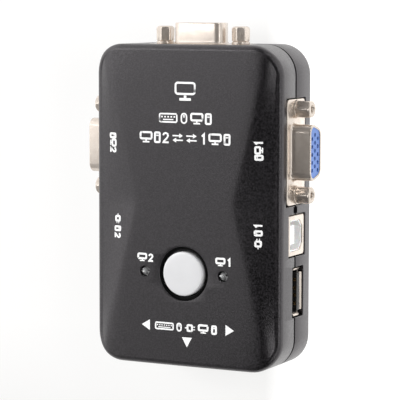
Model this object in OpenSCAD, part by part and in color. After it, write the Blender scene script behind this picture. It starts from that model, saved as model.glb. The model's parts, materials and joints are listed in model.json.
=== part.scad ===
// Two-computer desktop KVM switch: a two-part case with an hourglass face, a push button with
// two lamps, three video sockets, two square USB sockets for the computers and three flat USB
// sockets for keyboard, mouse and other devices.
// Millimetres. The switch lies face up on its four feet. +X is computer 1's side, +Y is the
// monitor end, +Z is out of the face. The origin is the bottom centre of the whole object's box.

/* [Case] */
// Width of the case across the two computer sides
case_w = 61; // [60.5:0.5:64]
// Length of the case, from the flat USB end to the monitor end
case_l = 95; // [94:0.5:100]
// Thickness of the case at the flat of the face
case_h = 23.6; // [23.4:0.1:24.4]
// Height of the parting line over the back of the case
seam_h = 11.5; // [11:0.1:12]
// Wall thickness
wall = 2; // [1.8:0.1:2.2]
// Radius of the four corners, seen from the front
corner_r = 9; // [8:0.5:10]
// Radius of the rounded rims at the front and the back
rim_r = 1.8; // [1.5:0.1:2]

/* [Face] */
// Half width of the flat of the face at its waist
waist_x = 16.2; // [15:0.1:17.5]
// How far the waist lies from the middle of the case, towards the monitor end
waist_y = 1; // [-3:0.5:3]
// Sideways run of the crease per millimetre of length
crease_slope = 0.27; // [0.24:0.01:0.27]
// How much the crease is rounded at the waist
crease_round = 0.6; // [0.2:0.1:1.5]
// Drop of the side facets from the flat to the long edges
facet_drop = 2.4; // [1.6:0.1:2.6]

/* [Button and lamps] */
// Diameter of the button cap
button_d = 13.1; // [12:0.1:13.2]
// Diameter of the round recess that the button sits in
well_d = 16; // [15.5:0.1:17]
// Depth of that recess
well_depth = 1.3; // [1:0.1:1.4]
// Place of the button and lamps along the case, from the middle
button_y = -19.7; // [-20.5:0.1:-19]
// How far the button stands proud of the face
button_proud = 0.5; // [0.3:0.1:1]
// Distance of each lamp from the middle of the face
lamp_x = 12.9; // [12.2:0.1:13.1]
// Diameter of the lamp lenses
lamp_d = 3; // [2.9:0.1:3.1]

/* [Sockets] */
// Place of the side video sockets along the case
vga_y = 16.5; // [16:0.1:17]
// Height of the video socket centres over the back of the case
vga_z = 11.1; // [11.1:0.05:11.2]
// Reach of the video socket collars out of the case
vga_reach = 6.2; // [5.7:0.1:6.4]
// Distance between the two jackscrews of a video socket
jack_pitch = 24.99; // [24.99:0.01:25.01]
// Length of the jackscrew heads
jack_len = 5.2; // [4.6:0.1:5.4]
// Place of the square USB sockets along the case
usb_b_y = -7.95; // [-8.1:0.05:-7.8]
// Height of the square USB socket centres over the back of the case
usb_b_z = 10.25; // [10.25:0.05:10.4]
// Place of the flat side USB sockets along the case
usb_a_y = -24.75; // [-25:0.05:-24.5]
// Height of the flat USB socket centres over the back of the case
usb_a_z = 9.4; // [9.2:0.05:9.5]

/* [Feet] */
// Diameter of the rubber feet
foot_d = 8; // [6:0.5:9]
// How far the feet lift the case off the desk
foot_proud = 1.5; // [1:0.1:2]

/* [Hidden] */
$fn = 48;

// Overlap that lets a cutter run clear of the face it opens
eps = 0.1;

// Half sizes of the case, and the centres of its corner arcs
half_w = case_w / 2;
half_l = case_l / 2;
corner_cx = half_w - corner_r;
corner_cy = half_l - corner_r;

// Case interior
floor_z = wall;
ceiling_z = case_h - wall;
side_ceiling_z = case_h - facet_drop - rim_r - 0.6;
lip_h = 1.4;
lip_t = 0.9;
lip_gap = 0.12;
seam_chamfer = 0.35;

// Outline sampling of the case halves
corner_steps = 6;
side_steps = 12;
rim_steps = 4;
facet_steps = 3;

// Boards
board_t = 1.6;
board_top = 4.7;
board_under = board_top - board_t;
board_w = 55;
board_l = 88;
button_board_top = 13.8;
button_board_under = button_board_top - board_t;
button_board_w = 28;
button_board_y = [-29.5, -12.5];

// Fasteners
case_screw_at = [24.2, 41.2];
case_screw_r = 1.15;
case_screw_head = [2.4, 1.1];
case_post_split = 6;
board_screw_at = [14, 33];
board_screw_low_y = -39.5;
board_screw_r = 0.85;
board_screw_head = [1.75, 1.2];
button_screw_at = [10.2, -26.2];
fit_gap = 0.05;

// Button and its 12 mm tactile switch
cap_r = button_d / 2;
cap_top = case_h + button_proud;
cap_bottom = button_board_top + 4.8;
cap_round = 0.7;
cap_crown = 0.08;
cap_guide_r = cap_r + 0.3;
switch_w = 12;
switch_h = 3.6;
switch_plate_t = 0.3;
plunger_r = 3.42;
plunger_hole_r = 3.5;
stem_w = 3.8;
stem_top = button_board_top + 7.3;
collar_r = 4.2;
cavity_r = 4.6;
dome_r = 4;
dome_top = button_board_top + 1.1;
travel = 0.3;

// Lamps
lamp_r = lamp_d / 2;
lamp_h = 5.3;
lamp_base = case_h - 0.2 - lamp_h;
lamp_flange_r = 1.9;
lead_r = 0.25;
lead_dx = 1.27;

// Video socket (15-way, three rows)
vga_flange = [30.81, 12.55];
vga_flange_t = 0.8;
vga_shell_w = 16.33;
vga_shell_h = 7.9;
vga_shell_r = 2.6;
vga_shell_t = 0.4;
vga_gap = 0.4;
vga_pitch = 2.29;
vga_row_z = 1.98;
vga_bore_r = 0.6;
vga_block = [19, 9.2];
vga_block_back = 6;
vga_tail = 0.46;
vga_drill_r = 0.42;
vga_tail_x = [6.9, 8.7, 10.5];
vga_drop = vga_z - board_under + 1;
jack_af = 4.76;
jack_stud_r = 1.4;
jack_stud_len = 5;
jack_bore_r = 1.15;
jack_bore_len = 4.4;

// Square USB socket
usb_b = [12, 11];
usb_b_deep = 16.3;
usb_b_open = [8.45, 7.78];
usb_b_bevel = 1.9;
usb_b_set = 0.2;
usb_b_t = 0.4;
usb_b_tongue = [5.6, 3.2];
// [side, y] of the four contacts, two over and two under the tongue
usb_b_pins = [[1, -1.25], [1, 1.25], [-1, -1.25], [-1, 1.25]];

// Flat USB socket
usb_a_open = [12.5, 5.12];
usb_a_lip = [14.5, 7.2];
usb_a_t = 0.3;
usb_a_deep = 13.8;
usb_a_set = 0.3;
usb_a_flare = 1.1;
usb_a_tongue_w = 11.1;
usb_a_tongue_t = 1.84;
usb_a_tongue_z = -0.98;
usb_a_tongue_front = 0.4;
usb_a_pin_front = 0.7;
usb_a_pin_y = [-3.5, -1, 1, 3.5];

// Pin header between the boards
link_y = -27.6;
link_pitch = 2.54;
link_n = 5;
link_socket_h = 5;
link_w = 2.5;

foot_sink = 0.5;
foot_at = [20.5, 31];

// ---------------------------------------------------------------- helpers

// Moves case coordinates (origin at the middle of the case's back) into the object's own frame
module at_case() translate([0, -vga_reach / 2, foot_proud]) children();

// Places a socket drawn with its mouth towards +X and its front plane at x = 0
module at_side_1(y, z) at_case() translate([half_w, y, z]) children();
module at_side_2(y, z) at_case() translate([-half_w, y, z]) rotate([0, 0, 180]) children();
module at_monitor_end(z) at_case() translate([0, half_l, z]) rotate([0, 0, 90]) children();
module at_usb_end(z) at_case() translate([0, -half_l, z]) rotate([0, 0, -90]) children();

// Box centred on y and z, running from x0 to x1
module bar(x0, x1, w, h, z = 0) translate([x0, -w / 2, z - h / 2]) cube([x1 - x0, w, h]);

// Upright block with round corners, centred on x and y
module round_block(w, l, r, z0, z1) {
    translate([-w / 2 + r, -l / 2, z0]) cube([w - 2 * r, l, z1 - z0]);
    translate([-w / 2, -l / 2 + r, z0]) cube([w, l - 2 * r, z1 - z0]);
    for (sx = [-1, 1], sy = [-1, 1])
        translate([sx * (w / 2 - r), sy * (l / 2 - r), z0]) cylinder(r = r, h = z1 - z0);
}

// Flat outline with true arcs around a convex list of centres, listed anticlockwise
module arc_outline(pts, r) {
    n = len(pts);
    polygon(pts);
    for (i = [0:n - 1]) {
        a = pts[i];
        b = pts[(i + 1) % n];
        d = (b - a) / norm(b - a);
        out = r * [d[1], -d[0]];
        polygon([a, b, b + out, a + out]);
        translate(a) circle(r = r);
    }
}

// Upright drill
module drill(x, y, r, z0, z1) translate([x, y, z0]) cylinder(r = r, h = z1 - z0);

module mirrored_xy(at) for (sx = [-1, 1], sy = [-1, 1]) translate([sx * at[0], sy * at[1], 0]) children();

// ---------------------------------------------------------------- case surface

// Half width of the flat of the face at a place along the case
function crease_x(y) =
    waist_x + sqrt(pow(crease_slope * (y - waist_y), 2) + pow(crease_round, 2)) - crease_round;

// Facet profile from the crease (0) to the long edge (1): bowed a little, more so near the ends
function facet_bow(y) = 0.1 + 0.6 * min(1, abs(y) / half_l);
function facet_fall(t, y) = (1 - facet_bow(y)) * t + facet_bow(y) * t * t;

function edge_t(x, y) =
    max(0, min(1, (abs(x) - crease_x(y)) / (half_w - rim_r - crease_x(y))));
function face_drop(x, y, drop) = drop * facet_fall(edge_t(x, y), y);

// Outline samples [arc centre x, arc centre y, outward x, outward y], anticlockwise
function corner_samples(cx, cy, from) =
    [for (i = [0:corner_steps]) let (a = from + 90 * i / corner_steps) [cx, cy, cos(a), sin(a)]];
function side_samples(sx) =
    [for (i = [1:side_steps - 1]) [sx * corner_cx, sx * corner_cy * (2 * i / side_steps - 1), sx, 0]];
outline = concat(
    corner_samples(corner_cx, -corner_cy, -90), side_samples(1),
    corner_samples(corner_cx, corner_cy, 0), corner_samples(-corner_cx, corner_cy, 90),
    side_samples(-1), corner_samples(-corner_cx, -corner_cy, 180));
outline_n = len(outline);
half_n = outline_n / 2;

function inset_point(s, d) = [s[0] + (corner_r - d) * s[2], s[1] + (corner_r - d) * s[3]];

// The facet of each long side spans the samples between the middles of its two corners
facet_from = corner_steps / 2;
facet_to = corner_steps + side_steps + corner_steps / 2;
facet_n = facet_to - facet_from - 1;

// One outer half of the case, from the parting plane at z = 0 up to its flat at z = h.
// With no drop the flat runs across the whole half.
module case_half(h, drop) {
    faceted = drop > 0;
    inner = [for (s = outline) inset_point(s, rim_r)];
    fall = [for (p = inner) face_drop(p[0], p[1], drop)];
    function rim_ring(i) = let (a = 90 * i / rim_steps)
        [for (k = [0:outline_n - 1])
            let (p = inset_point(outline[k], rim_r * (1 - cos(a))))
            [p[0], p[1], h - fall[k] - rim_r * (1 - sin(a))]];
    function flat_ring(d, z) = [for (s = outline) let (p = inset_point(s, d)) [p[0], p[1], z]];
    function facet_column(side, k, j) =
        let (p = inner[k + side * half_n],
             f = j / facet_steps,
             cx = (1 - 2 * side) * crease_x(p[1]),
             x = p[0] + (cx - p[0]) * f)
        [x, p[1], h - face_drop(x, p[1], drop)];
    ring_n = rim_steps + 3;
    points = concat(
        flat_ring(seam_chamfer, 0),
        flat_ring(0, seam_chamfer),
        [for (i = [0:rim_steps]) each rim_ring(i)],
        [if (faceted) for (side = [0, 1], k = [facet_from + 1:facet_to - 1], j = [1:facet_steps])
            facet_column(side, k, j)]);
    function ring_id(i, k) = i * outline_n + k % outline_n;
    top = ring_n - 1;
    function facet_id(side, k, j) = j == 0
        ? ring_id(top, k + side * half_n)
        : ring_n * outline_n + (side * facet_n + k - facet_from - 1) * facet_steps + j - 1;
    bands = [for (i = [0:ring_n - 2], k = [0:outline_n - 1]) each [
        [ring_id(i, k), ring_id(i + 1, k), ring_id(i + 1, k + 1)],
        [ring_id(i, k), ring_id(i + 1, k + 1), ring_id(i, k + 1)]]];
    facets = [if (faceted)
        for (side = [0, 1], k = [facet_from + 1:facet_to - 2], j = [0:facet_steps - 1]) each [
        [facet_id(side, k, j), facet_id(side, k, j + 1), facet_id(side, k + 1, j + 1)],
        [facet_id(side, k, j), facet_id(side, k + 1, j + 1), facet_id(side, k + 1, j)]]];
    tips = [if (faceted) for (side = [0, 1], j = [0:facet_steps - 1]) each [
        [facet_id(side, facet_from + 1, j), ring_id(top, facet_from + side * half_n),
            facet_id(side, facet_from + 1, j + 1)],
        [facet_id(side, facet_to - 1, j), facet_id(side, facet_to - 1, j + 1),
            ring_id(top, facet_to + side * half_n)]]];
    whole_flat = [for (k = [0:outline_n - 1]) ring_id(top, k)];
    flat = !faceted ? whole_flat : concat(
        [ring_id(top, facet_from)],
        [for (k = [facet_from + 1:facet_to - 1]) facet_id(0, k, facet_steps)],
        [for (k = [facet_to:facet_from + half_n]) ring_id(top, k)],
        [for (k = [facet_from + 1:facet_to - 1]) facet_id(1, k, facet_steps)],
        [for (k = [facet_to + half_n:facet_from + outline_n - 1]) ring_id(top, k)]);
    reversed_flat = [for (i = [len(flat) - 1:-1:0]) flat[i]];
    underside = [for (k = [0:outline_n - 1]) k];
    polyhedron(points, concat(bands, facets, tips, [reversed_flat], [underside]), convexity = 6);
}

// Openings for every socket, the same for both halves
module socket_openings() {
    vga_hole = [vga_flange[0] + vga_gap, vga_flange[1] + vga_gap];
    deep = wall + 3;
    for (a = [0, 180]) rotate([0, 0, a]) {
        translate([half_w, a == 0 ? vga_y : -vga_y, vga_z])
            bar(-deep, 1, vga_hole[0], vga_hole[1]);
        translate([half_w, a == 0 ? usb_b_y : -usb_b_y, usb_b_z])
            bar(-deep, 1, usb_b[0] + 0.5, usb_b[1] + 0.5);
        translate([half_w, a == 0 ? usb_a_y : -usb_a_y, usb_a_z])
            bar(-deep, 1, usb_a_lip[0] + 0.4, usb_a_lip[1] + 0.4);
    }
    translate([0, half_l, vga_z]) rotate([0, 0, 90]) bar(-deep, 1, vga_hole[0], vga_hole[1]);
    translate([0, -half_l, usb_a_z]) rotate([0, 0, -90])
        bar(-deep, 1, usb_a_lip[0] + 0.4, usb_a_lip[1] + 0.4);
}

// Short pry notches in the parting line, between the video and the square USB sockets
module pry_notches() {
    for (sx = [-1, 1]) translate([sx * half_w - 0.7, -1.1, seam_h - 0.8]) cube([1.4, 1.4, 1.6]);
}

// ---------------------------------------------------------------- case

module top_cover() color([0.17, 0.17, 0.18]) at_case() difference() {
    union() {
        difference() {
            translate([0, 0, seam_h]) case_half(case_h - seam_h, facet_drop);
            round_block(case_w - 2 * wall, case_l - 2 * wall, corner_r - wall, seam_h - 1, side_ceiling_z);
            face_pocket();
            lip_rabbet();
        }
        mirrored_xy(case_screw_at) drill(0, 0, 3, case_post_split + 0.2, side_ceiling_z + 1);
        translate([0, button_y, 0])
            drill(0, 0, well_d / 2 + 1, ceiling_z - 2.4, case_h - well_depth);
        for (sx = [-1, 1]) {
            drill(sx * lamp_x, button_y, lamp_r + 1.2, ceiling_z - 1, ceiling_z + 1);
            drill(sx * button_screw_at[0], button_screw_at[1], 2.3, button_board_top, ceiling_z + 1);
        }
    }
    socket_openings();
    pry_notches();
    translate([0, button_y, 0]) {
        drill(0, 0, well_d / 2, case_h - well_depth, case_h + 1);
        drill(0, 0, cap_guide_r, ceiling_z - 3, case_h);
    }
    for (sx = [-1, 1]) {
        drill(sx * lamp_x, button_y, lamp_r + 0.1, ceiling_z - 2, case_h + 1);
        drill(sx * button_screw_at[0], button_screw_at[1], board_screw_r + fit_gap,
            button_board_top - 1, button_board_top + 4);
    }
    mirrored_xy(case_screw_at) drill(0, 0, case_screw_r + fit_gap, 0, case_post_split + 8);
}

// Hourglass pocket under the flat of the face
module face_pocket() {
    in = wall;
    end_y = half_l - 3.6;
    end_x = crease_x(end_y) - 2 * in;
    top_post = case_screw_at[0] - 4;
    translate([0, 0, side_ceiling_z - 1]) linear_extrude(ceiling_z - side_ceiling_z + 1)
        polygon([
            [waist_x - in, waist_y], [min(end_x, top_post), end_y], [-min(end_x, top_post), end_y],
            [in - waist_x, waist_y], [-min(end_x, top_post), -end_y], [min(end_x, top_post), -end_y]]);
}

// Step inside the top cover's rim that takes the bottom cover's lip
module lip_rabbet() {
    grow = 2 * (lip_t + lip_gap);
    round_block(case_w - 2 * wall + grow, case_l - 2 * wall + grow, corner_r - wall + grow / 2,
        seam_h - 1, seam_h + lip_h + lip_gap);
}

module bottom_cover() color([0.18, 0.18, 0.19]) at_case() difference() {
    union() {
        difference() {
            union() {
                translate([0, 0, seam_h]) mirror([0, 0, 1]) case_half(seam_h, 0);
                round_block(case_w - 2 * (wall - lip_t), case_l - 2 * (wall - lip_t),
                    corner_r - wall + lip_t, seam_h - 1, seam_h + lip_h);
            }
            round_block(case_w - 2 * wall, case_l - 2 * wall, corner_r - wall, floor_z, seam_h + 5);
        }
        mirrored_xy(case_screw_at) drill(0, 0, 3, floor_z - 1, case_post_split);
        for (sx = [-1, 1], y = [board_screw_at[1], board_screw_low_y])
            drill(sx * board_screw_at[0], y, 2.5, floor_z - 1, board_under);
    }
    socket_openings();
    pry_notches();
    mirrored_xy(case_screw_at) {
        drill(0, 0, case_screw_r + 0.25, -1, case_post_split + 1);
        drill(0, 0, case_screw_head[0] + 0.3, -1, case_screw_head[1] + 0.3);
    }
    for (sx = [-1, 1], y = [board_screw_at[1], board_screw_low_y])
        drill(sx * board_screw_at[0], y, board_screw_r + fit_gap, 0.7, board_under + 1);
    mirrored_xy(foot_at) drill(0, 0, foot_d / 2 + 0.15, -1, foot_sink);
    // Blank recess for a rating plate
    round_block(30, 40, 2, -1, 0.3);
}

module case_screws() color([0.35, 0.35, 0.37]) at_case() mirrored_xy(case_screw_at) difference() {
    union() {
        drill(0, 0, case_screw_head[0], 0.3, 0.3 + case_screw_head[1]);
        drill(0, 0, case_screw_r, 1, 12.5);
    }
    for (a = [0, 90]) rotate([0, 0, a]) translate([-1.3, -0.3, 0.3 - eps]) cube([2.6, 0.6, 0.6 + eps]);
}

module foot(sx, sy) color([0.08, 0.08, 0.08]) at_case() translate([sx * foot_at[0], sy * foot_at[1], 0])
    rotate_extrude() polygon([
        [0, -foot_proud], [foot_d / 2 - 0.5, -foot_proud], [foot_d / 2, -foot_proud + 0.5],
        [foot_d / 2, foot_sink], [0, foot_sink]]);
module foot_1() foot(1, 1);
module foot_2() foot(-1, 1);
module foot_3() foot(-1, -1);
module foot_4() foot(1, -1);

// ---------------------------------------------------------------- boards

// Upright holes of every pin that passes through the main board
module main_board_drills() {
    z0 = board_under - 1;
    z1 = board_top + 1;
    for (p = vga_tails()) {
        drill(half_w - p[0], vga_y + p[1], vga_drill_r, z0, z1);
        drill(-half_w + p[0], vga_y - p[1], vga_drill_r, z0, z1);
        drill(-p[1], half_l - p[0], vga_drill_r, z0, z1);
    }
    for (sy = [-1, 1]) {
        drill(half_w - 6, vga_y + sy * jack_pitch / 2, 1.35, z0, z1);
        drill(-half_w + 6, vga_y + sy * jack_pitch / 2, 1.35, z0, z1);
        drill(sy * jack_pitch / 2, half_l - 6, 1.35, z0, z1);
    }
    for (p = usb_b_tails()) {
        drill(half_w - p[0], usb_b_y + p[1], 0.5, z0, z1);
        drill(-half_w + p[0], usb_b_y - p[1], 0.5, z0, z1);
    }
    for (y = usb_a_pin_y) {
        drill(half_w - usb_a_deep - 0.6, usb_a_y + y, 0.5, z0, z1);
        drill(-half_w + usb_a_deep + 0.6, usb_a_y - y, 0.5, z0, z1);
        drill(y, -half_l + usb_a_deep + 0.6, 0.5, z0, z1);
    }
}

module main_board() color([0.05, 0.3, 0.14]) at_case() difference() {
    round_block(board_w, board_l, 4, board_under, board_top);
    mirrored_xy(case_screw_at) drill(0, 0, 3.6, board_under - 1, board_top + 1);
    for (sx = [-1, 1], y = [board_screw_at[1], board_screw_low_y])
        drill(sx * board_screw_at[0], y, 1.1, board_under - 1, board_top + 1);
    main_board_drills();
}

module button_board() color([0.06, 0.34, 0.16]) at_case() difference() {
    translate([-button_board_w / 2, button_board_y[0], button_board_under])
        cube([button_board_w, button_board_y[1] - button_board_y[0], board_t]);
    for (sx = [-1, 1]) {
        drill(sx * button_screw_at[0], button_screw_at[1], 1.1,
            button_board_under - 1, button_board_top + 1);
        for (sy = [-1, 1]) {
            drill(sx * lamp_x, button_y + sy * lead_dx, lead_r + 0.15,
                button_board_under - 1, button_board_top + 1);
            drill(sx * 6.25, button_y + sy * 2.5, 0.65, button_board_under - 1, button_board_top + 1);
        }
    }
    for (i = [0:link_n - 1])
        drill((i - (link_n - 1) / 2) * link_pitch, link_y, 0.45,
            button_board_under - 1, button_board_top + 1);
}

module board_screw_up(x, y, z, reach) translate([x, y, z]) difference() {
    union() {
        drill(0, 0, board_screw_head[0], 0, board_screw_head[1]);
        drill(0, 0, board_screw_r, -reach, eps);
    }
    for (a = [0, 90]) rotate([0, 0, a])
        translate([-1, -0.25, board_screw_head[1] - 0.6]) cube([2, 0.5, 1]);
}

module board_screws() color([0.75, 0.75, 0.76]) at_case() {
    for (sx = [-1, 1], y = [board_screw_at[1], board_screw_low_y])
        board_screw_up(sx * board_screw_at[0], y, board_top, 3.9);
    for (sx = [-1, 1])
        translate([0, 0, button_board_under]) mirror([0, 0, 1])
            board_screw_up(sx * button_screw_at[0], button_screw_at[1], 0, board_t + 3.5);
}

module link_row() for (i = [0:link_n - 1])
    translate([(i - (link_n - 1) / 2) * link_pitch, link_y, 0]) children();

module link_socket() color([0.1, 0.1, 0.1]) at_case() difference() {
    translate([-link_n * link_pitch / 2, link_y - link_w / 2, board_top])
        cube([link_n * link_pitch, link_w, link_socket_h]);
    link_row() drill(0, 0, 0.45, board_top + 0.4, board_top + link_socket_h + 1);
}

module link_header() color([0.12, 0.12, 0.12]) at_case() difference() {
    translate([-link_n * link_pitch / 2, link_y - link_w / 2, board_top + link_socket_h])
        cube([link_n * link_pitch, link_w, button_board_under - board_top - link_socket_h]);
    link_row() drill(0, 0, 0.34, board_top, button_board_top);
}

module link_pins() color([0.83, 0.68, 0.3]) at_case()
    link_row() drill(0, 0, 0.32, board_top + 0.6, button_board_top + 0.9);

// ---------------------------------------------------------------- button and switch

module button_cap() color([0.9, 0.9, 0.92]) at_case() translate([0, button_y, 0]) difference() {
    rotate_extrude() cap_profile();
    translate([0, 0, cap_bottom - 1]) cylinder(r = cap_r - 1.4, h = stem_top - 1.6 - cap_bottom);
    translate([-stem_w / 2 - fit_gap, -stem_w / 2 - fit_gap, cap_bottom - 1])
        cube([stem_w + 2 * fit_gap, stem_w + 2 * fit_gap, stem_top + fit_gap - cap_bottom + 1]);
}

// Half section of the cap: straight skirt, round edge and a slightly crowned top
module cap_profile() {
    edge_z = cap_top - cap_crown - cap_round;
    polygon([[0, cap_bottom], [cap_r, cap_bottom], [cap_r, edge_z], [cap_r - cap_round, edge_z],
        [cap_r - cap_round, cap_top - cap_crown], [0, cap_top]]);
    intersection() {
        translate([cap_r - cap_round, edge_z]) circle(r = cap_round);
        translate([cap_r - cap_round, edge_z]) square([cap_round, cap_round]);
    }
}

module switch_base() color([0.11, 0.11, 0.12]) at_case() translate([0, button_y, 0]) difference() {
    translate([-switch_w / 2, -switch_w / 2, button_board_top]) cube([switch_w, switch_w, switch_h]);
    drill(0, 0, cavity_r, button_board_top + 0.5, button_board_top + switch_h + 1);
    for (sx = [-1, 1], sy = [-1, 1])
        translate([sx * (switch_w / 2 - 0.25) - 0.35, sy * 2.5 - 0.6, button_board_top - 1])
            cube([0.7, 1.2, 2.6]);
    mirrored_xy([4.7, 4.7]) drill(0, 0, 0.55, button_board_top + 2, button_board_top + switch_h + 1);
}

module switch_cover() color([0.72, 0.72, 0.72]) at_case() translate([0, button_y, 0]) {
    z0 = button_board_top + switch_h;
    difference() {
        translate([-switch_w / 2 + 0.3, -switch_w / 2 + 0.3, z0])
            cube([switch_w - 0.6, switch_w - 0.6, switch_plate_t]);
        drill(0, 0, plunger_hole_r, z0 - 1, z0 + 1);
    }
    mirrored_xy([4.7, 4.7]) {
        drill(0, 0, 0.5, z0 - 1.4, z0 + 0.1);
        drill(0, 0, 0.8, z0 + switch_plate_t - 0.1, z0 + switch_plate_t + 0.25);
    }
}

module switch_plunger() color([0.13, 0.13, 0.14]) at_case() translate([0, button_y, 0]) {
    under_plate = button_board_top + switch_h - 0.1;
    drill(0, 0, collar_r, under_plate - 1, under_plate);
    drill(0, 0, plunger_r, under_plate - 0.5, button_board_top + 4.3);
    drill(0, 0, 1.2, dome_top + travel + 0.05, under_plate - 0.5);
    translate([-stem_w / 2, -stem_w / 2, button_board_top + 4])
        cube([stem_w, stem_w, stem_top - button_board_top - 4]);
}

// Snap dome, drawn at the height it has when it is pressed flat under the plunger
module switch_dome() color([0.8, 0.78, 0.72]) at_case() translate([0, button_y, 0]) {
    rise = dome_top - button_board_top - 0.55;
    ball = (dome_r * dome_r + rise * rise) / (2 * rise);
    rotate_extrude() intersection() {
        translate([0, dome_top - ball]) difference() {
            circle(r = ball, $fn = 96);
            circle(r = ball - 0.1, $fn = 96);
        }
        translate([0, button_board_top + 0.55]) square([dome_r, rise]);
    }
}

module switch_terminals() color([0.8, 0.8, 0.78]) at_case() translate([0, button_y, 0])
    for (sx = [-1, 1], sy = [-1, 1]) {
        translate([sx * 6.25 - 0.15, sy * 2.5 - 0.5, button_board_under - 1])
            cube([0.3, 1, board_t + 2.2]);
        translate([min(sx * 6.25, sx * 5.8) - 0.15, sy * 2.5 - 0.5, button_board_top + 1])
            cube([0.75, 1, 0.3]);
    }

// ---------------------------------------------------------------- lamps

module led(sx) color([0.85, 0.87, 0.9, 0.6]) at_case() translate([sx * lamp_x, button_y, lamp_base]) {
    cylinder(r = lamp_r, h = lamp_h - lamp_r);
    translate([0, 0, lamp_h - lamp_r]) rotate_extrude() intersection() {
        circle(r = lamp_r);
        square([lamp_r, lamp_r]);
    }
    cylinder(r = lamp_flange_r, h = 0.9);
}
module led_1() led(1);
module led_2() led(-1);

module led_spacers() color([0.12, 0.12, 0.12]) at_case() for (sx = [-1, 1]) difference() {
    drill(sx * lamp_x, button_y, lamp_flange_r, button_board_top, lamp_base);
    for (sy = [-1, 1])
        drill(sx * lamp_x, button_y + sy * lead_dx, lead_r + 0.1, button_board_top - 1, lamp_base + 1);
}

module led_leads() color([0.78, 0.78, 0.78]) at_case() for (sx = [-1, 1], sy = [-1, 1])
    drill(sx * lamp_x, button_y + sy * lead_dx, lead_r, button_board_under - 0.8, lamp_base);

// ---------------------------------------------------------------- video sockets

// D outline in the socket's y and z, wide side up, grown or shrunk by d
module vga_outline(d) {
    r = vga_shell_r + d;
    hw = vga_shell_w / 2 - vga_shell_r;
    hh = vga_shell_h / 2 - vga_shell_r;
    lean = 2 * (hh + vga_shell_r) * tan(10) * 0.6;
    arc_outline([[-hw + lean, -hh], [hw - lean, -hh], [hw, hh], [-hw, hh]], r);
}

// Extrudes a y-z outline along x from x0 to x1
module along_x(x0, x1) translate([x0, 0, 0]) rotate([90, 0, 90]) linear_extrude(x1 - x0) children();

// [row, y, z] of the fifteen contacts
function vga_contacts() = [for (row = [-1, 0, 1], i = [-2:2])
    [row, i * vga_pitch + (row == 0 ? vga_pitch / 2 : 0) - vga_pitch / 4, row * vga_row_z]];
// [distance behind the front plane, y] of the fifteen tails
function vga_tails() = [for (c = vga_contacts()) [vga_tail_x[c[0] + 1], c[1]]];

module vga_shell() color([0.8, 0.76, 0.7]) {
    difference() {
        along_x(-vga_flange_t, 0) arc_outline([
            for (s = [[-1, -1], [1, -1], [1, 1], [-1, 1]])
                [s[0] * (vga_flange[0] / 2 - 1.6), s[1] * (vga_flange[1] / 2 - 1.6)]], 1.6);
        along_x(-2, 1) vga_outline(-vga_shell_t);
        for (sy = [-1, 1])
            translate([-2, sy * jack_pitch / 2, 0]) rotate([0, 90, 0]) cylinder(r = 1.55, h = 3);
    }
    difference() {
        along_x(-eps, vga_reach) vga_outline(0);
        along_x(-1, vga_reach + 1) vga_outline(-vga_shell_t);
    }
}

module vga_insert() color([0.25, 0.4, 0.8]) difference() {
    union() {
        along_x(-vga_flange_t - eps, vga_reach - 0.3) vga_outline(-vga_shell_t - 0.03);
        bar(-vga_block_back, -vga_flange_t, vga_block[0], vga_block[1]);
    }
    for (c = vga_contacts())
        translate([-vga_block_back - 1, c[1], c[2]]) rotate([0, 90, 0])
            cylinder(r = vga_bore_r, h = vga_block_back + vga_reach + 2);
}

module vga_contact_set(board_below) color([0.85, 0.7, 0.3]) for (c = vga_contacts()) {
    back = vga_tail_x[c[0] + 1];
    translate([-4, c[1], c[2]]) rotate([0, 90, 0]) difference() {
        cylinder(r = vga_bore_r - 0.02, h = 4 + vga_reach - 1.3);
        translate([0, 0, 4]) cylinder(r = 0.38, h = vga_reach);
    }
    translate([0, c[1], c[2]]) bar(-back, -3.5, vga_tail, vga_tail);
    translate([-back - vga_tail / 2, c[1] - vga_tail / 2, -board_below])
        cube([vga_tail, vga_tail, board_below + c[2] + vga_tail / 2]);
}

module vga_bracket_solid() color([0.78, 0.76, 0.72]) {
    drop = vga_z - board_top;
    back = vga_flange_t + 0.8;
    difference() {
        bar(-back, -vga_flange_t, vga_flange[0] - 0.6, vga_flange[1] - 0.6);
        bar(-back - 1, 0, vga_block[0] + 0.2, vga_block[1] + 0.2);
        for (sy = [-1, 1]) translate([-3, sy * jack_pitch / 2, 0]) rotate([0, 90, 0])
            cylinder(r = jack_stud_r + fit_gap, h = 3);
    }
    for (sy = [-1, 1]) {
        difference() {
            translate([0, sy * jack_pitch / 2, 0]) bar(-back - 2.2, -back + eps, 4.6, 4.6);
            translate([-9, sy * jack_pitch / 2, 0]) rotate([0, 90, 0])
                cylinder(r = jack_stud_r + fit_gap, h = 9);
        }
        translate([0, sy * jack_pitch / 2, 0]) {
            bar(-8, -back + eps, 4.6, 0.8, -drop + 0.45);
            translate([-6, 0, -drop - board_t - 0.8]) cylinder(r = 1.1, h = board_t + 1.2);
        }
    }
}

module vga_jackscrew_pair() color([0.85, 0.83, 0.8]) for (sy = [-1, 1])
    translate([0, sy * jack_pitch / 2, 0]) rotate([0, 90, 0]) difference() {
        union() {
            intersection() {
                cylinder(d = jack_af / cos(30), h = jack_len, $fn = 6);
                rotate_extrude() polygon([[0, 0], [jack_af / 2 + 0.4, 0], [jack_af / 2 + 0.4, jack_len - 0.7],
                    [jack_af / 2 - 0.25, jack_len], [0, jack_len]]);
            }
            translate([0, 0, -jack_stud_len]) cylinder(r = jack_stud_r, h = jack_stud_len + eps);
        }
        translate([0, 0, jack_len - jack_bore_len]) cylinder(r = jack_bore_r, h = jack_bore_len + 1);
    }

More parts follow.
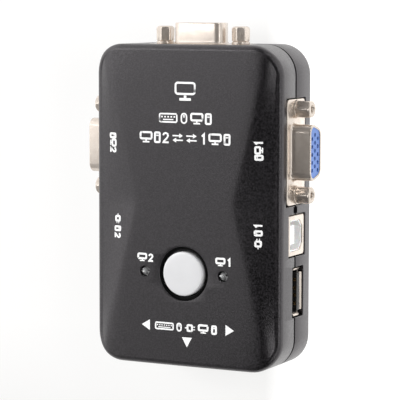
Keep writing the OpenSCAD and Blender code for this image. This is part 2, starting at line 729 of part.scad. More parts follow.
module vga_1_shell() at_side_1(vga_y, vga_z) vga_shell();
module vga_1_insert() at_side_1(vga_y, vga_z) vga_insert();
module vga_1_contacts() at_side_1(vga_y, vga_z) vga_contact_set(vga_drop);
module vga_1_bracket() at_side_1(vga_y, vga_z) vga_bracket_solid();
module vga_1_jackscrews() at_side_1(vga_y, vga_z) vga_jackscrew_pair();
module vga_2_shell() at_side_2(vga_y, vga_z) vga_shell();
module vga_2_insert() at_side_2(vga_y, vga_z) vga_insert();
module vga_2_contacts() at_side_2(vga_y, vga_z) vga_contact_set(vga_drop);
module vga_2_bracket() at_side_2(vga_y, vga_z) vga_bracket_solid();
module vga_2_jackscrews() at_side_2(vga_y, vga_z) vga_jackscrew_pair();
module vga_out_shell() at_monitor_end(vga_z) vga_shell();
module vga_out_insert() at_monitor_end(vga_z) vga_insert();
module vga_out_contacts() at_monitor_end(vga_z) vga_contact_set(vga_drop);
module vga_out_bracket() at_monitor_end(vga_z) vga_bracket_solid();
module vga_out_jackscrews() at_monitor_end(vga_z) vga_jackscrew_pair();

// ---------------------------------------------------------------- square USB sockets

// Mouth with two bevelled corners on the upper side
module usb_b_mouth(d) {
    w = usb_b_open[0] / 2 + d;
    h = usb_b_open[1] / 2 + d;
    polygon([[-w, -h], [w, -h], [w, h - usb_b_bevel], [w - usb_b_bevel, h],
        [-w + usb_b_bevel, h], [-w, h - usb_b_bevel]]);
}

module usb_b_shell() color([0.88, 0.87, 0.85]) difference() {
    bar(-usb_b_deep, -usb_b_set, usb_b[0], usb_b[1]);
    bar(-usb_b_deep - 1, -usb_b_set - usb_b_t, usb_b[0] - 2 * usb_b_t, usb_b[1] - 2 * usb_b_t);
    mirror([0, 0, 1]) along_x(-2, 1) usb_b_mouth(0.3);
    bar(-usb_b_deep - 1, -usb_b_deep + 5.5, 5, 3, -usb_b[1] / 2);
}

module usb_b_insert() color([0.93, 0.93, 0.91]) {
    back = usb_b_deep - 0.4;
    front = usb_b_set + usb_b_t + 0.02;
    difference() {
        bar(-back, -front, usb_b[0] - 2 * usb_b_t - 0.06, usb_b[1] - 2 * usb_b_t - 0.06);
        mirror([0, 0, 1]) along_x(-9.4, 1) usb_b_mouth(0);
        usb_b_contact_cuts(0.06);
    }
    difference() {
        bar(-9.6, -1.6, usb_b_tongue[0], usb_b_tongue[1]);
        usb_b_contact_cuts(0.06);
    }
}

// [distance behind the front plane, y] of their tails
function usb_b_tails() = [for (p = usb_b_pins) [usb_b_deep - 1.5 - (p[0] > 0 ? 0 : 2), p[1]]];

module usb_b_contact_bars(g) for (p = usb_b_pins) {
    back = usb_b_deep - 1.5 - (p[0] > 0 ? 0 : 2);
    z = p[0] * (usb_b_tongue[1] / 2 + 0.02);
    translate([0, p[1], 0]) bar(-back, -2.2, 0.8 + 2 * g, 0.3 + 2 * g, z);
}
module usb_b_contact_cuts(g) {
    usb_b_contact_bars(g);
    for (p = usb_b_tails())
        translate([-p[0], p[1], 0]) drill(0, 0, 0.35 + g, -20, usb_b_tongue[1] / 2 + 0.17 + g);
}
module usb_b_contact_set() color([0.85, 0.72, 0.4]) {
    usb_b_contact_bars(0);
    for (i = [0:3]) {
        p = usb_b_tails()[i];
        top = usb_b_pins[i][0] * (usb_b_tongue[1] / 2) + 0.1;
        translate([-p[0], p[1], 0]) drill(0, 0, 0.35, -(usb_b_z - board_under) - 1, top);
    }
}

module usb_b_1_shell() at_side_1(usb_b_y, usb_b_z) usb_b_shell();
module usb_b_1_insert() at_side_1(usb_b_y, usb_b_z) usb_b_insert();
module usb_b_1_contacts() at_side_1(usb_b_y, usb_b_z) usb_b_contact_set();
module usb_b_2_shell() at_side_2(usb_b_y, usb_b_z) usb_b_shell();
module usb_b_2_insert() at_side_2(usb_b_y, usb_b_z) usb_b_insert();
module usb_b_2_contacts() at_side_2(usb_b_y, usb_b_z) usb_b_contact_set();

// ---------------------------------------------------------------- flat USB sockets

// One flared lip of the mouth: span along y, bent outwards at half height h
module usb_a_lip_bar(span, h, out) {
    x0 = -usb_a_set - usb_a_flare;
    x1 = -usb_a_set;
    rotate([90, 0, 0]) translate([0, 0, -span / 2]) linear_extrude(span)
        polygon([[x0, h], [x1, out - usb_a_t], [x1, out], [x0, h + usb_a_t]]);
}

module usb_a_shell() color([0.86, 0.85, 0.82]) {
    w = usb_a_open[0] + 2 * usb_a_t;
    h = usb_a_open[1] + 2 * usb_a_t;
    difference() {
        bar(-usb_a_deep, -usb_a_set - usb_a_flare, w, h);
        bar(-usb_a_deep - 1, 0, usb_a_open[0], usb_a_open[1]);
    }
    for (s = [0, 1]) {
        mirror([0, 0, s]) usb_a_lip_bar(usb_a_open[0] - 0.6, usb_a_open[1] / 2, usb_a_lip[1] / 2);
        mirror([0, s, 0]) rotate([-90, 0, 0])
            usb_a_lip_bar(usb_a_open[1] - 0.6, usb_a_open[0] / 2, usb_a_lip[0] / 2);
    }
    leg = usb_a_z - board_top;
    for (sy = [-1, 1]) translate([0, sy * (w / 2 - usb_a_t / 2), 0])
        bar(-9, -7, usb_a_t, leg - usb_a_open[1] / 2 + 0.1, -(leg + usb_a_open[1] / 2 - 0.1) / 2);
}

module usb_a_tongue() color([0.07, 0.07, 0.08]) difference() {
    union() {
        bar(-11, -usb_a_tongue_front, usb_a_tongue_w, usb_a_tongue_t, usb_a_tongue_z);
        bar(-usb_a_deep, -10.5, usb_a_open[0] - 0.06, usb_a_open[1] - 0.06);
    }
    usb_a_contact_bars(0.06);
}

module usb_a_contact_bars(g) for (y = usb_a_pin_y) translate([0, y, 0])
    bar(-usb_a_deep - 0.6, -usb_a_pin_front, 1 + 2 * g, 0.34 + 2 * g,
        usb_a_tongue_z + usb_a_tongue_t / 2 + 0.05);

module usb_a_contact_set() color([0.86, 0.66, 0.35]) {
    usb_a_contact_bars(0);
    for (y = usb_a_pin_y)
        translate([-usb_a_deep - 0.6, y, 0])
            drill(0, 0, 0.35, -(usb_a_z - board_under) - 1, usb_a_tongue_z + usb_a_tongue_t / 2 + 0.2);
}

module usb_a_1_shell() at_side_1(usb_a_y, usb_a_z) usb_a_shell();
module usb_a_1_tongue() at_side_1(usb_a_y, usb_a_z) usb_a_tongue();
module usb_a_1_contacts() at_side_1(usb_a_y, usb_a_z) usb_a_contact_set();
module usb_a_2_shell() at_side_2(usb_a_y, usb_a_z) usb_a_shell();
module usb_a_2_tongue() at_side_2(usb_a_y, usb_a_z) usb_a_tongue();
module usb_a_2_contacts() at_side_2(usb_a_y, usb_a_z) usb_a_contact_set();
module usb_a_3_shell() at_usb_end(usb_a_z) usb_a_shell();
module usb_a_3_tongue() at_usb_end(usb_a_z) usb_a_tongue();
module usb_a_3_contacts() at_usb_end(usb_a_z) usb_a_contact_set();

// ---------------------------------------------------------------- main board parts

// Chip with rows of leads on two long sides, or on all four
module chip(at, w, l, h, pitch, leads, four = false) at_case() translate([at[0], at[1], board_top]) {
    translate([-w / 2, -l / 2, 0.1]) cube([w, l, h - 0.1]);
    for (a = four ? [0, 90, 180, 270] : [0, 180]) rotate([0, 0, a]) for (i = [0:leads - 1])
        translate([-w / 2 - 0.9, (i - (leads - 1) / 2) * pitch - 0.12, 0]) cube([1.1, 0.24, 0.3]);
}

module controller_ic() color([0.1, 0.1, 0.11]) chip([-1, 14], 7, 7, 1.5, 0.5, 12, true);
module hub_ic() color([0.1, 0.1, 0.11]) chip([0, -8], 5.3, 10.2, 1.75, 0.65, 14);
module video_ics() color([0.1, 0.1, 0.11]) for (x = [-8, 0, 8]) chip([x, 28], 3.9, 9.9, 1.6, 1.27, 8);

module crystal() color([0.75, 0.75, 0.75]) at_case() {
    translate([-3.2, 1 - 2.3, board_top]) cube([6.4, 4.6, 3.5]);
    for (sx = [-1, 1]) drill(sx * 3.2, 1, 2.3, board_top, board_top + 3.5);
}

module capacitors() color([0.2, 0.22, 0.35]) at_case()
    for (p = [[-10.5, -33.5], [10.5, -33]]) drill(p[0], p[1], 2.5, board_top, board_top + 7);

module regulator() color([0.1, 0.1, 0.11]) at_case() translate([0, -19, board_top]) {
    translate([-3.25, -1.75, 0.1]) cube([6.5, 3.5, 1.6]);
    for (x = [-2.3, 0, 2.3]) translate([x - 0.35, -2.9, 0]) cube([0.7, 1.3, 0.3]);
}

module passives() color([0.6, 0.5, 0.38]) at_case() {
    for (i = [0:5], sx = [-1, 1])
        translate([sx * 13.5 - 0.8, 0.5 + 3.2 * i, board_top]) cube([1.6, 0.8, 0.6]);
    for (i = [0:3], sx = [-1, 1])
        translate([sx * 7.5 - 0.4, -14 + 3.2 * i, board_top]) cube([0.8, 1.6, 0.6]);
}

// ---------------------------------------------------------------- nodes

top_cover();
bottom_cover();
main_board();
button_board();
button_cap();
switch_base();
switch_cover();
switch_plunger();
switch_dome();
switch_terminals();
led_1();
led_2();
led_spacers();
led_leads();
vga_1_shell();
vga_1_insert();
vga_1_contacts();
vga_1_bracket();
vga_1_jackscrews();
vga_2_shell();
vga_2_insert();
vga_2_contacts();
vga_2_bracket();
vga_2_jackscrews();
vga_out_shell();
vga_out_insert();
vga_out_contacts();
vga_out_bracket();
vga_out_jackscrews();
usb_b_1_shell();
usb_b_1_insert();
usb_b_1_contacts();
usb_b_2_shell();
usb_b_2_insert();
usb_b_2_contacts();
usb_a_1_shell();
usb_a_1_tongue();
usb_a_1_contacts();
usb_a_2_shell();
usb_a_2_tongue();
usb_a_2_contacts();
usb_a_3_shell();
usb_a_3_tongue();
usb_a_3_contacts();
case_screws();
board_screws();
foot_1();
foot_2();
foot_3();
foot_4();
link_socket();
link_header();
link_pins();
controller_ic();
hub_ic();
video_ics();
crystal();
capacitors();
regulator();
passives();
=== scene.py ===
import json
import math

import bmesh
import bpy
from mathutils import Matrix, Vector


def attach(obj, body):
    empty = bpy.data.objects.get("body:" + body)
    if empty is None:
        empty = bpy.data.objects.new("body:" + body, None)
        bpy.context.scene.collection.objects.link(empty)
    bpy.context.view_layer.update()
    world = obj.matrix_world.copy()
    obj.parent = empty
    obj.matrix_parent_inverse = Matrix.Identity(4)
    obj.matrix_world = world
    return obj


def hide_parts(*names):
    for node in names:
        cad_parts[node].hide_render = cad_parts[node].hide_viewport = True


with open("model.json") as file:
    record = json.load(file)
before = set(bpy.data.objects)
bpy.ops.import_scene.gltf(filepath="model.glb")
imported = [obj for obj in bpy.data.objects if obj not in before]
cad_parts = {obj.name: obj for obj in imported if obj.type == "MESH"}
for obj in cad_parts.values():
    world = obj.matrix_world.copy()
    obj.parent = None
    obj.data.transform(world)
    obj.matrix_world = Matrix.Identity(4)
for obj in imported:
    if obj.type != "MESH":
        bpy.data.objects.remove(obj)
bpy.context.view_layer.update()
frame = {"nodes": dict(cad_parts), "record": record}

# ------------------------------------------------------------------ sizes
# Millimetres in case coordinates: the origin is the middle of the case's back, x runs to computer
# 1's side, y to the monitor end and z out of the face. ROW_SHIFT takes them to the row frame.
MM = 0.001
VGA_REACH = 6.2
FOOT_PROUD = 1.5
ROW_SHIFT = Vector((0.0, -VGA_REACH / 2, FOOT_PROUD))
HALF_W = 30.5
HALF_L = 47.5
CASE_H = 23.6
SEAM_H = 11.5
CORNER_R = 9.0
RIM_R = 1.8
CORNER_X = HALF_W - CORNER_R
CORNER_Y = HALF_L - CORNER_R
WALL = 2.0
SEAM_HALF_GAP = 0.4
LIP_TOP = SEAM_H + 1.4

WAIST_X = 16.2
WAIST_Y = 1.0
CREASE_SLOPE = 0.27
CREASE_ROUND = 0.6
FACET_DROP = 2.4
EDGE_X = HALF_W - RIM_R
LEAST_FACET = 0.5
CREASE_SOFT = 0.9
CREASE_SOFT_GAIN = 1.5
FACET_BOW = 0.1
FACET_BOW_GAIN = 0.6
FACET_BOW_FALL = 1.4

BUTTON_Y = -19.7
CAP_R = 6.55
WELL_R = 8.0
WELL_FLOOR = CASE_H - 1.3
WELL_ROUND = 0.3
GUIDE_R = CAP_R + 0.3
GUIDE_BOTTOM = 18.0
LAMP_X = 12.9
LAMP_R = 1.5
LAMP_HOLE_BOTTOM = 20.0

VGA_Y = 16.5
VGA_Z = 11.1
VGA_FLANGE = (30.81, 12.55)
VGA_FLANGE_T = 0.8
JACK_PITCH = 24.99
JACK_AF = 4.76
JACK_LEN = 5.2
JACK_HOLE_R = 1.55
USB_B_Y = -7.95
USB_B_Z = 10.25
USB_B_OUTER = (12.0, 11.0)
USB_B_MOUTH = (8.45, 7.78)
USB_B_BEVEL = 1.9
USB_B_BACK = -16.3
USB_A_Y = -24.75
USB_A_Z = 9.4
USB_A_MOUTH = (12.5, 5.12)
USB_A_LIP = (14.5, 7.2)
USB_A_PLATE = 0.3
NOTCH_Y = (-1.35, 0.55)
NOTCH_DEPTH = 1.2
NOTCH_HALF_H = 1.3
CASE_SCREW_AT = (24.2, 41.2)
FOOT_AT = (20.5, 31.0)

# ------------------------------------------------------------------ materials


ROUGHNESS_GRAIN = 900.0
BUMP_DETAIL = 3.0


def noise(nodes, links, scale, detail=4.0):
    """A noise texture on the mesh's own metre coordinates."""
    coords = nodes.new("ShaderNodeTexCoord")
    tex = nodes.new("ShaderNodeTexNoise")
    tex.inputs["Scale"].default_value = scale
    tex.inputs["Detail"].default_value = detail
    tex.inputs["Roughness"].default_value = 0.55
    links.new(coords.outputs["Object"], tex.inputs["Vector"])
    return tex.outputs["Fac"]


def ramp(nodes, links, factor, stops):
    """A colour ramp over a factor. stops are (place, colour) pairs, and a colour may be one grey
    value."""
    node = nodes.new("ShaderNodeValToRGB")
    for i, (place, colour) in enumerate(stops):
        element = node.color_ramp.elements[i] if i < 2 else node.color_ramp.elements.new(place)
        element.position = place
        grey = isinstance(colour, (int, float))
        element.color = (colour, colour, colour, 1) if grey else (*colour, 1)
    links.new(factor, node.inputs["Fac"])
    return node.outputs["Color"]


def map_range(nodes, links, value, low, high, to_low=0.0, to_high=1.0):
    """value taken from low..high to to_low..to_high, and held at both ends."""
    node = nodes.new("ShaderNodeMapRange")
    ends = {"From Min": low, "From Max": high, "To Min": to_low, "To Max": to_high}
    for name, number in ends.items():
        node.inputs[name].default_value = number
    links.new(value, node.inputs["Value"])
    return node.outputs["Result"]


def material(name, dark, light, rough, bump=(), mottle=120.0, spread=(0.3, 0.7), **sockets):
    """A principled material. Its colour wanders between dark and light with noise of scale mottle,
    and spread is the noise values where it is fully dark and fully light. Its roughness wanders
    between the two values of rough. bump is (noise scale, depth in metres) pairs. sockets are
    constant values, set on the shader's own sockets."""
    mat = bpy.data.materials.new(name)
    mat.use_nodes = True
    nodes, links = mat.node_tree.nodes, mat.node_tree.links
    shader = nodes["Principled BSDF"]
    colour = ramp(nodes, links, noise(nodes, links, mottle),
                  [(spread[0], dark), (spread[1], light)])
    links.new(colour, shader.inputs["Base Color"])
    grain = ramp(nodes, links, noise(nodes, links, ROUGHNESS_GRAIN),
                 [(0.3, rough[0]), (0.7, rough[1])])
    links.new(grain, shader.inputs["Roughness"])
    normal = None
    for scale, depth in bump:
        node = nodes.new("ShaderNodeBump")
        node.inputs["Strength"].default_value = 1.0
        node.inputs["Distance"].default_value = depth
        links.new(noise(nodes, links, scale, BUMP_DETAIL), node.inputs["Height"])
        if normal:
            links.new(normal, node.inputs["Normal"])
        normal = node.outputs["Normal"]
    if normal:
        links.new(normal, shader.inputs["Normal"])
    for socket, value in sockets.items():
        label = socket.replace("_", " ").title().replace("Ior", "IOR")
        shader.inputs[label].default_value = value
    return mat


MATERIALS = {
    "case_black": material(
        "case_black", (0.0002, 0.0002, 0.0003), (0.0180, 0.0165, 0.0185), (0.28, 0.34),
        bump=[(3600.0, 0.00005)], mottle=2000.0, spread=(0.42, 0.60), ior=1.55,
        specular_ior_level=1.0, specular_tint=(1.0, 0.955, 0.99, 1)),
    "button_silver": material(
        "button_silver", (0.71, 0.71, 0.72), (0.75, 0.75, 0.76), (0.30, 0.36),
        bump=[(900.0, 0.000001)], metallic=0.2),
    "switch_black": material(
        "switch_black", (0.012, 0.012, 0.013), (0.02, 0.02, 0.021), (0.4, 0.5),
        bump=[(3000.0, 0.000006)]),
    "spring_steel": material(
        "spring_steel", (0.55, 0.54, 0.52), (0.66, 0.65, 0.62), (0.22, 0.34),
        bump=[(4000.0, 0.000002)], metallic=1.0),
    "lamp_clear": material(
        "lamp_clear", (0.93, 0.94, 0.95), (0.97, 0.97, 0.98), (0.02, 0.06),
        transmission_weight=0.88, ior=1.53),
    "nickel": material(
        "nickel", (0.71, 0.625, 0.55), (0.81, 0.73, 0.655), (0.16, 0.26),
        bump=[(260.0, 0.00002), (2200.0, 0.000002)], mottle=420.0, metallic=0.72),
    "vga_blue": material(
        "vga_blue", (0.11, 0.21, 0.55), (0.14, 0.26, 0.62), (0.34, 0.42),
        bump=[(2500.0, 0.000005)], subsurface_weight=0.05, subsurface_scale=0.001),
    "contact_gold": material(
        "contact_gold", (0.80, 0.53, 0.24), (0.92, 0.66, 0.34), (0.18, 0.3),
        bump=[(3000.0, 0.000002)], metallic=1.0),
    "tin": material(
        "tin", (0.6, 0.6, 0.6), (0.74, 0.74, 0.73), (0.28, 0.42),
        bump=[(1500.0, 0.000008)], metallic=1.0),
    "usb_white": material(
        "usb_white", (0.92, 0.93, 0.94), (0.96, 0.97, 0.97), (0.3, 0.4),
        bump=[(2500.0, 0.000004)], subsurface_weight=0.08, subsurface_scale=0.001),
    "usb_black": material(
        "usb_black", (0.006, 0.006, 0.006), (0.011, 0.011, 0.011), (0.38, 0.48),
        bump=[(2600.0, 0.000006)]),
    "board_green": material(
        "board_green", (0.006, 0.07, 0.025), (0.012, 0.11, 0.04), (0.28, 0.4),
        bump=[(700.0, 0.00002)], mottle=600.0, coat_weight=0.4, coat_roughness=0.15),
    "chip_black": material(
        "chip_black", (0.012, 0.012, 0.012), (0.022, 0.022, 0.021), (0.5, 0.62),
        bump=[(3500.0, 0.00001)]),
    "screw_steel": material(
        "screw_steel", (0.30, 0.30, 0.31), (0.48, 0.48, 0.49), (0.24, 0.36),
        bump=[(1800.0, 0.000005)], metallic=1.0),
    "foot_rubber": material(
        "foot_rubber", (0.0035, 0.0035, 0.0035), (0.007, 0.007, 0.007), (0.68, 0.82),
        bump=[(1500.0, 0.00003)], specular_ior_level=0.12),
    "capacitor_can": material(
        "capacitor_can", (0.03, 0.035, 0.09), (0.05, 0.055, 0.13), (0.26, 0.36),
        bump=[(900.0, 0.00001)]),
    "print_white": material(
        "print_white", (0.92, 0.92, 0.92), (0.96, 0.96, 0.95), (0.42, 0.55),
        bump=[(2600.0, 0.000008)]),
}

for row in frame["record"]["subparts"]:
    node = frame["nodes"][row["node"]]
    node.data.materials.clear()
    node.data.materials.append(MATERIALS[row["material_slot"]])

# ------------------------------------------------------------------ mesh helpers


def cleaned(mesh):
    """Merges doubled points and turns every face outwards."""
    work = bmesh.new()
    work.from_mesh(mesh)
    bmesh.ops.remove_doubles(work, verts=work.verts, dist=1e-4)
    bmesh.ops.dissolve_degenerate(work, edges=work.edges, dist=1e-5)
    bmesh.ops.recalc_face_normals(work, faces=work.faces)
    work.to_mesh(mesh)
    work.free()


def solid(name, *parts):
    """One object in case millimetres from (points, faces) parts."""
    points, faces = [], []
    for part_points, part_faces in parts:
        start = len(points)
        points += [tuple(p) for p in part_points]
        faces += [tuple(start + i for i in f) for f in part_faces]
    mesh = bpy.data.meshes.new(name)
    mesh.from_pydata(points, [], faces)
    cleaned(mesh)
    obj = bpy.data.objects.new(name, mesh)
    bpy.context.scene.collection.objects.link(obj)
    return obj


def cut(obj, *cutters):
    """Subtracts closed cutters from obj and removes them."""
    for cutter in cutters:
        change = obj.modifiers.new("cut", "BOOLEAN")
        change.operation = "DIFFERENCE"
        change.solver = "EXACT"
        change.object = cutter
    bpy.context.view_layer.update()
    seen = obj.evaluated_get(bpy.context.evaluated_depsgraph_get())
    mesh = bpy.data.meshes.new_from_object(seen)
    obj.modifiers.clear()
    obj.data = mesh
    for cutter in cutters:
        bpy.data.objects.remove(cutter)


def placed(obj, slot, body="case", replaces=(), sharp=32.0):
    """Takes obj from case millimetres to the row frame, finishes its shading and lets it ride."""
    obj.data.transform(Matrix.Translation(ROW_SHIFT * MM) @ Matrix.Scale(MM, 4))
    obj.data.shade_smooth()
    obj.data.set_sharp_from_angle(angle=math.radians(sharp))
    obj.data.materials.clear()
    obj.data.materials.append(MATERIALS[slot])
    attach(obj, body)
    if replaces:
        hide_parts(*replaces)


def loft(rings, closed=False):
    """Skins rings of equally many points. A closed loft joins the last ring to the first; an open
    one is capped at both ends."""
    n = len(rings[0])
    points = [p for ring in rings for p in ring]
    spans = len(rings) if closed else len(rings) - 1
    faces = []
    for i in range(spans):
        a, b = i * n, (i + 1) % len(rings) * n
        faces += [(a + k, a + (k + 1) % n, b + (k + 1) % n, b + k) for k in range(n)]
    if not closed:
        faces.append(tuple(reversed(range(n))))
        faces.append(tuple(range(len(points) - n, len(points))))
    return points, faces


def full_turn(steps):
    """Angles once round, in radians."""
    return [2 * math.pi * k / steps for k in range(steps)]


def circle(at, r, z, steps):
    """A level ring of points about an upright axis."""
    return [(at[0] + r * math.cos(a), at[1] + r * math.sin(a), z) for a in full_turn(steps)]


def lathe(profile, steps, at):
    """Turns an (r, z) profile about an upright axis; its first and last points lie on the axis."""
    rings = [circle(at, r, z, steps) for r, z in profile if r > 0]
    points, faces = loft(rings)
    points += [(*at, profile[0][1]), (*at, profile[-1][1])]
    first_pole, last_pole = len(points) - 2, len(points) - 1
    last_ring = (len(rings) - 1) * steps
    faces = faces[:-2]
    faces += [(first_pole, (k + 1) % steps, k) for k in range(steps)]
    faces += [(last_pole, last_ring + k, last_ring + (k + 1) % steps) for k in range(steps)]
    return points, faces


def arc(cx, cy, r, start, end, steps):
    """Points of an arc, angles in degrees."""
    angles = [math.radians(start + (end - start) * i / steps) for i in range(steps + 1)]
    return [(cx + r * math.cos(a), cy + r * math.sin(a)) for a in angles]


def block(low, high):
    """A box between two corners."""
    (x0, y0, z0), (x1, y1, z1) = low, high
    return loft([[(x0, y0, z), (x1, y0, z), (x1, y1, z), (x0, y1, z)] for z in (z0, z1)])


# ------------------------------------------------------------------ case surface


def crease_x(y):
    """Half width of the flat of the face."""
    return WAIST_X + math.hypot(CREASE_SLOPE * (y - WAIST_Y), CREASE_ROUND) - CREASE_ROUND


def soft_step(u, k):
    """0 below u = 0 and u above it, with the corner between them rounded by k."""
    return 0.5 * (u + math.sqrt(u * u + k * k))


def face_z(x, y):
    """Height of the face. The crease is crisp at the waist and soft towards the ends, and the
    facet bows slightly between the crease and the edge."""
    crease = min(crease_x(y), EDGE_X - LEAST_FACET)
    span = EDGE_X - crease
    away = min(1.0, abs(y - WAIST_Y) / HALF_L)
    k = (CREASE_SOFT + CREASE_SOFT_GAIN * away * away) / span
    t = soft_step((abs(x) - crease) / span, k) / soft_step(1.0, k)
    bow = FACET_BOW + FACET_BOW_GAIN * min(1.0, abs(y) / HALF_L)
    bow *= 1.0 - FACET_BOW_FALL * away
    return CASE_H - FACET_DROP * ((1 - bow) * t + bow * t * t)


CORNER_STEPS = 14
STRAIGHT_ROWS = 84
CREASE_OFFSETS = (-8, -6.2, -4.8, -3.7, -2.8, -2.1, -1.5, -1.05, -0.7, -0.4, -0.2)
FACET_STEPS = 13


def boundary(inset):
    """Right-hand edge points of the outline, inset, from the flat USB end to the monitor end."""
    r = CORNER_R - inset
    points = []
    for i in range(CORNER_STEPS):
        a = math.radians(-90 + 90 * i / CORNER_STEPS)
        points.append((CORNER_X + r * math.cos(a), -CORNER_Y + r * math.sin(a)))
    for i in range(STRAIGHT_ROWS + 1):
        points.append((CORNER_X + r, CORNER_Y * (2 * i / STRAIGHT_ROWS - 1)))
    for i in range(1, CORNER_STEPS + 1):
        a = math.radians(90 * i / CORNER_STEPS)
        points.append((CORNER_X + r * math.cos(a), CORNER_Y + r * math.sin(a)))
    return points


def grid_row(x_edge, y):
    """Places across a row of the face, closest together near the creases."""
    crease = min(crease_x(y), x_edge)
    right = [0.0, 0.5 * (crease + CREASE_OFFSETS[0])] + [crease + d for d in CREASE_OFFSETS]
    right += [crease + (x_edge - crease) * i / FACET_STEPS for i in range(FACET_STEPS + 1)]
    return [-x for x in reversed(right[1:])] + right


def surface_grid(inset, height):
    """Points of the face or of a parallel inner face, row by row."""
    return [[(x, y, height(x, y)) for x in grid_row(x_edge, y)] for x_edge, y in boundary(inset)]


def loop_of(rows):
    """Boundary points of a grid, anticlockwise from the lower right."""
    right = [row[-1] for row in rows]
    top = list(reversed(rows[-1][1:-1]))
    left = [row[0] for row in reversed(rows)]
    bottom = rows[0][1:-1]
    return right + top + left + bottom


def ring_at(inset, height, rows):
    """The outline at an inset, point for point with the loop of rows."""
    edge = boundary(inset)
    end_xs = [p[0] for p in rows[-1][1:-1]]
    flat = [*edge]
    flat += [(x, edge[-1][1]) for x in reversed(end_xs)]
    flat += [(-x, y) for x, y in reversed(edge)]
    flat += [(p[0], edge[0][1]) for p in rows[0][1:-1]]
    return [(x, y, height(i)) for i, (x, y) in enumerate(flat)]


def cover(name, outer_z, inner_z, rings):
    """A half of the case: an outer grid, rings from its edge down and back up inside, and an inner
    grid. rings are (inset, height function of the loop index) pairs."""
    outer = surface_grid(RIM_R, outer_z)
    inner = surface_grid(WALL, inner_z)
    loops = [loop_of(outer)] + [ring_at(inset, height, outer) for inset, height in rings]
    loops.append(loop_of(inner))
    skin, faces = loft(loops, closed=True)
    faces = faces[:(len(loops) - 1) * len(loops[0])]  # all but the span back to the first loop
    parts = [(skin, faces)]
    for rows in (outer, inner):
        width = len(rows[0])
        points = [p for row in rows for p in row]
        quads = [(j * width + i, j * width + i + 1, (j + 1) * width + i + 1, (j + 1) * width + i)
                 for j in range(len(rows) - 1) for i in range(width - 1)]
        parts.append((points, quads))
    return solid(name, *parts)


RIM_STEPS = 10
SEAM_BEVEL = ((0.0, 0.14), (0.04, 0.04), (0.14, 0.0))  # inset, distance from the cover's edge
REBATE_INSET = 0.98
TONGUE_INSET = 1.1
REBATE_TOP = LIP_TOP + 0.12
TOP_COVER_EDGE = SEAM_H + SEAM_HALF_GAP
BOTTOM_COVER_EDGE = SEAM_H - SEAM_HALF_GAP
face_loop = loop_of(surface_grid(RIM_R, face_z))


def rim_rings(start_z, down=1):
    """Rounded rim from the face down to the wall, for heights start_z(i) at its inner edge. With
    down=-1 it goes up from the back instead."""
    rings = []
    for i in range(1, RIM_STEPS + 1):
        a = math.radians(90 * i / RIM_STEPS)
        drop = down * (RIM_R * (1 - math.cos(a)))
        rings.append((RIM_R * (1 - math.sin(a)), lambda k, drop=drop: start_z(k) - drop))
    return rings


def level(z):
    """The height function of a level ring."""
    return lambda k: z


cover_top = cover(
    "cover_top", face_z, lambda x, y: face_z(x, y) - WALL,
    rim_rings(lambda k: face_loop[k][2])
    + [(inset, level(TOP_COVER_EDGE + d)) for inset, d in SEAM_BEVEL]
    + [(REBATE_INSET, level(TOP_COVER_EDGE)), (REBATE_INSET, level(REBATE_TOP)),
       (WALL, level(REBATE_TOP))])
cover_bottom = cover(
    "cover_bottom", lambda x, y: 0.0, lambda x, y: WALL,
    rim_rings(level(0.0), down=-1)
    + [(inset, level(BOTTOM_COVER_EDGE - d)) for inset, d in SEAM_BEVEL]
    + [(TONGUE_INSET, level(BOTTOM_COVER_EDGE)), (TONGUE_INSET, level(LIP_TOP)),
       (WALL, level(LIP_TOP))])

# ------------------------------------------------------------------ sockets' own coordinates
# A socket is drawn with x out of the case from its front plane, and these take it to its place.


def side_1(y0, z0):
    return lambda x, y, z: (HALF_W + x, y0 + y, z0 + z)


def side_2(y0, z0):
    return lambda x, y, z: (-HALF_W - x, y0 - y, z0 + z)


def monitor_end(z0):
    return lambda x, y, z: (-y, HALF_L + x, z0 + z)


def usb_end(z0):
    return lambda x, y, z: (y, -HALF_L - x, z0 + z)


VGA_PLACES = {"1": side_1(VGA_Y, VGA_Z), "2": side_2(VGA_Y, VGA_Z), "out": monitor_end(VGA_Z)}
USB_B_PLACES = {"1": side_1(USB_B_Y, USB_B_Z), "2": side_2(USB_B_Y, USB_B_Z)}
USB_A_PLACES = {"1": side_1(USB_A_Y, USB_A_Z), "2": side_2(USB_A_Y, USB_A_Z), "3": usb_end(USB_A_Z)}


def put(part, place):
    """Moves a (points, faces) part from socket coordinates to the case."""
    return [place(*p) for p in part[0]], part[1]


def corner_arcs(centres, r, steps):
    """A closed outline of arcs round four centres, listed anticlockwise from the lower left."""
    n = len(centres)
    points = []
    for i in range(n):
        before, here, after = (Vector(centres[(i + d) % n]) for d in (-1, 0, 1))
        start = math.degrees(math.atan2(*reversed(here - before))) - 90
        end = math.degrees(math.atan2(*reversed(after - here))) - 90
        while end < start:
            end += 360
        points += arc(here.x, here.y, r, start, end, steps)
    return points


ARC_STEPS = 8


def round_rect(w, h, r, steps=ARC_STEPS):
    """A rectangle outline with round corners."""
    x, y = w / 2 - r, h / 2 - r
    return corner_arcs([(-x, -y), (x, -y), (x, y), (-x, y)], max(r, 1e-3), steps)


def across(outline, x):
    """A flat outline as a ring at x in socket coordinates."""
    return [(x, y, z) for y, z in outline]


OPENING_DEPTH = 4.0
CHAMFER = 0.16


def opening(place, w, h, lift=0.0):
    """Cutter for a socket opening, with a small chamfer where it meets the wall."""
    rings = []
    for x, grow in ((-OPENING_DEPTH, 0.0), (-CHAMFER, 0.0), (0.0, CHAMFER), (0.9, CHAMFER)):
        outline = round_rect(w + 2 * grow, h + 2 * grow, 0.35 + grow, 4)
        rings.append([(x, y, z + lift) for y, z in outline])
    return solid("cutter", put(loft(rings), place))


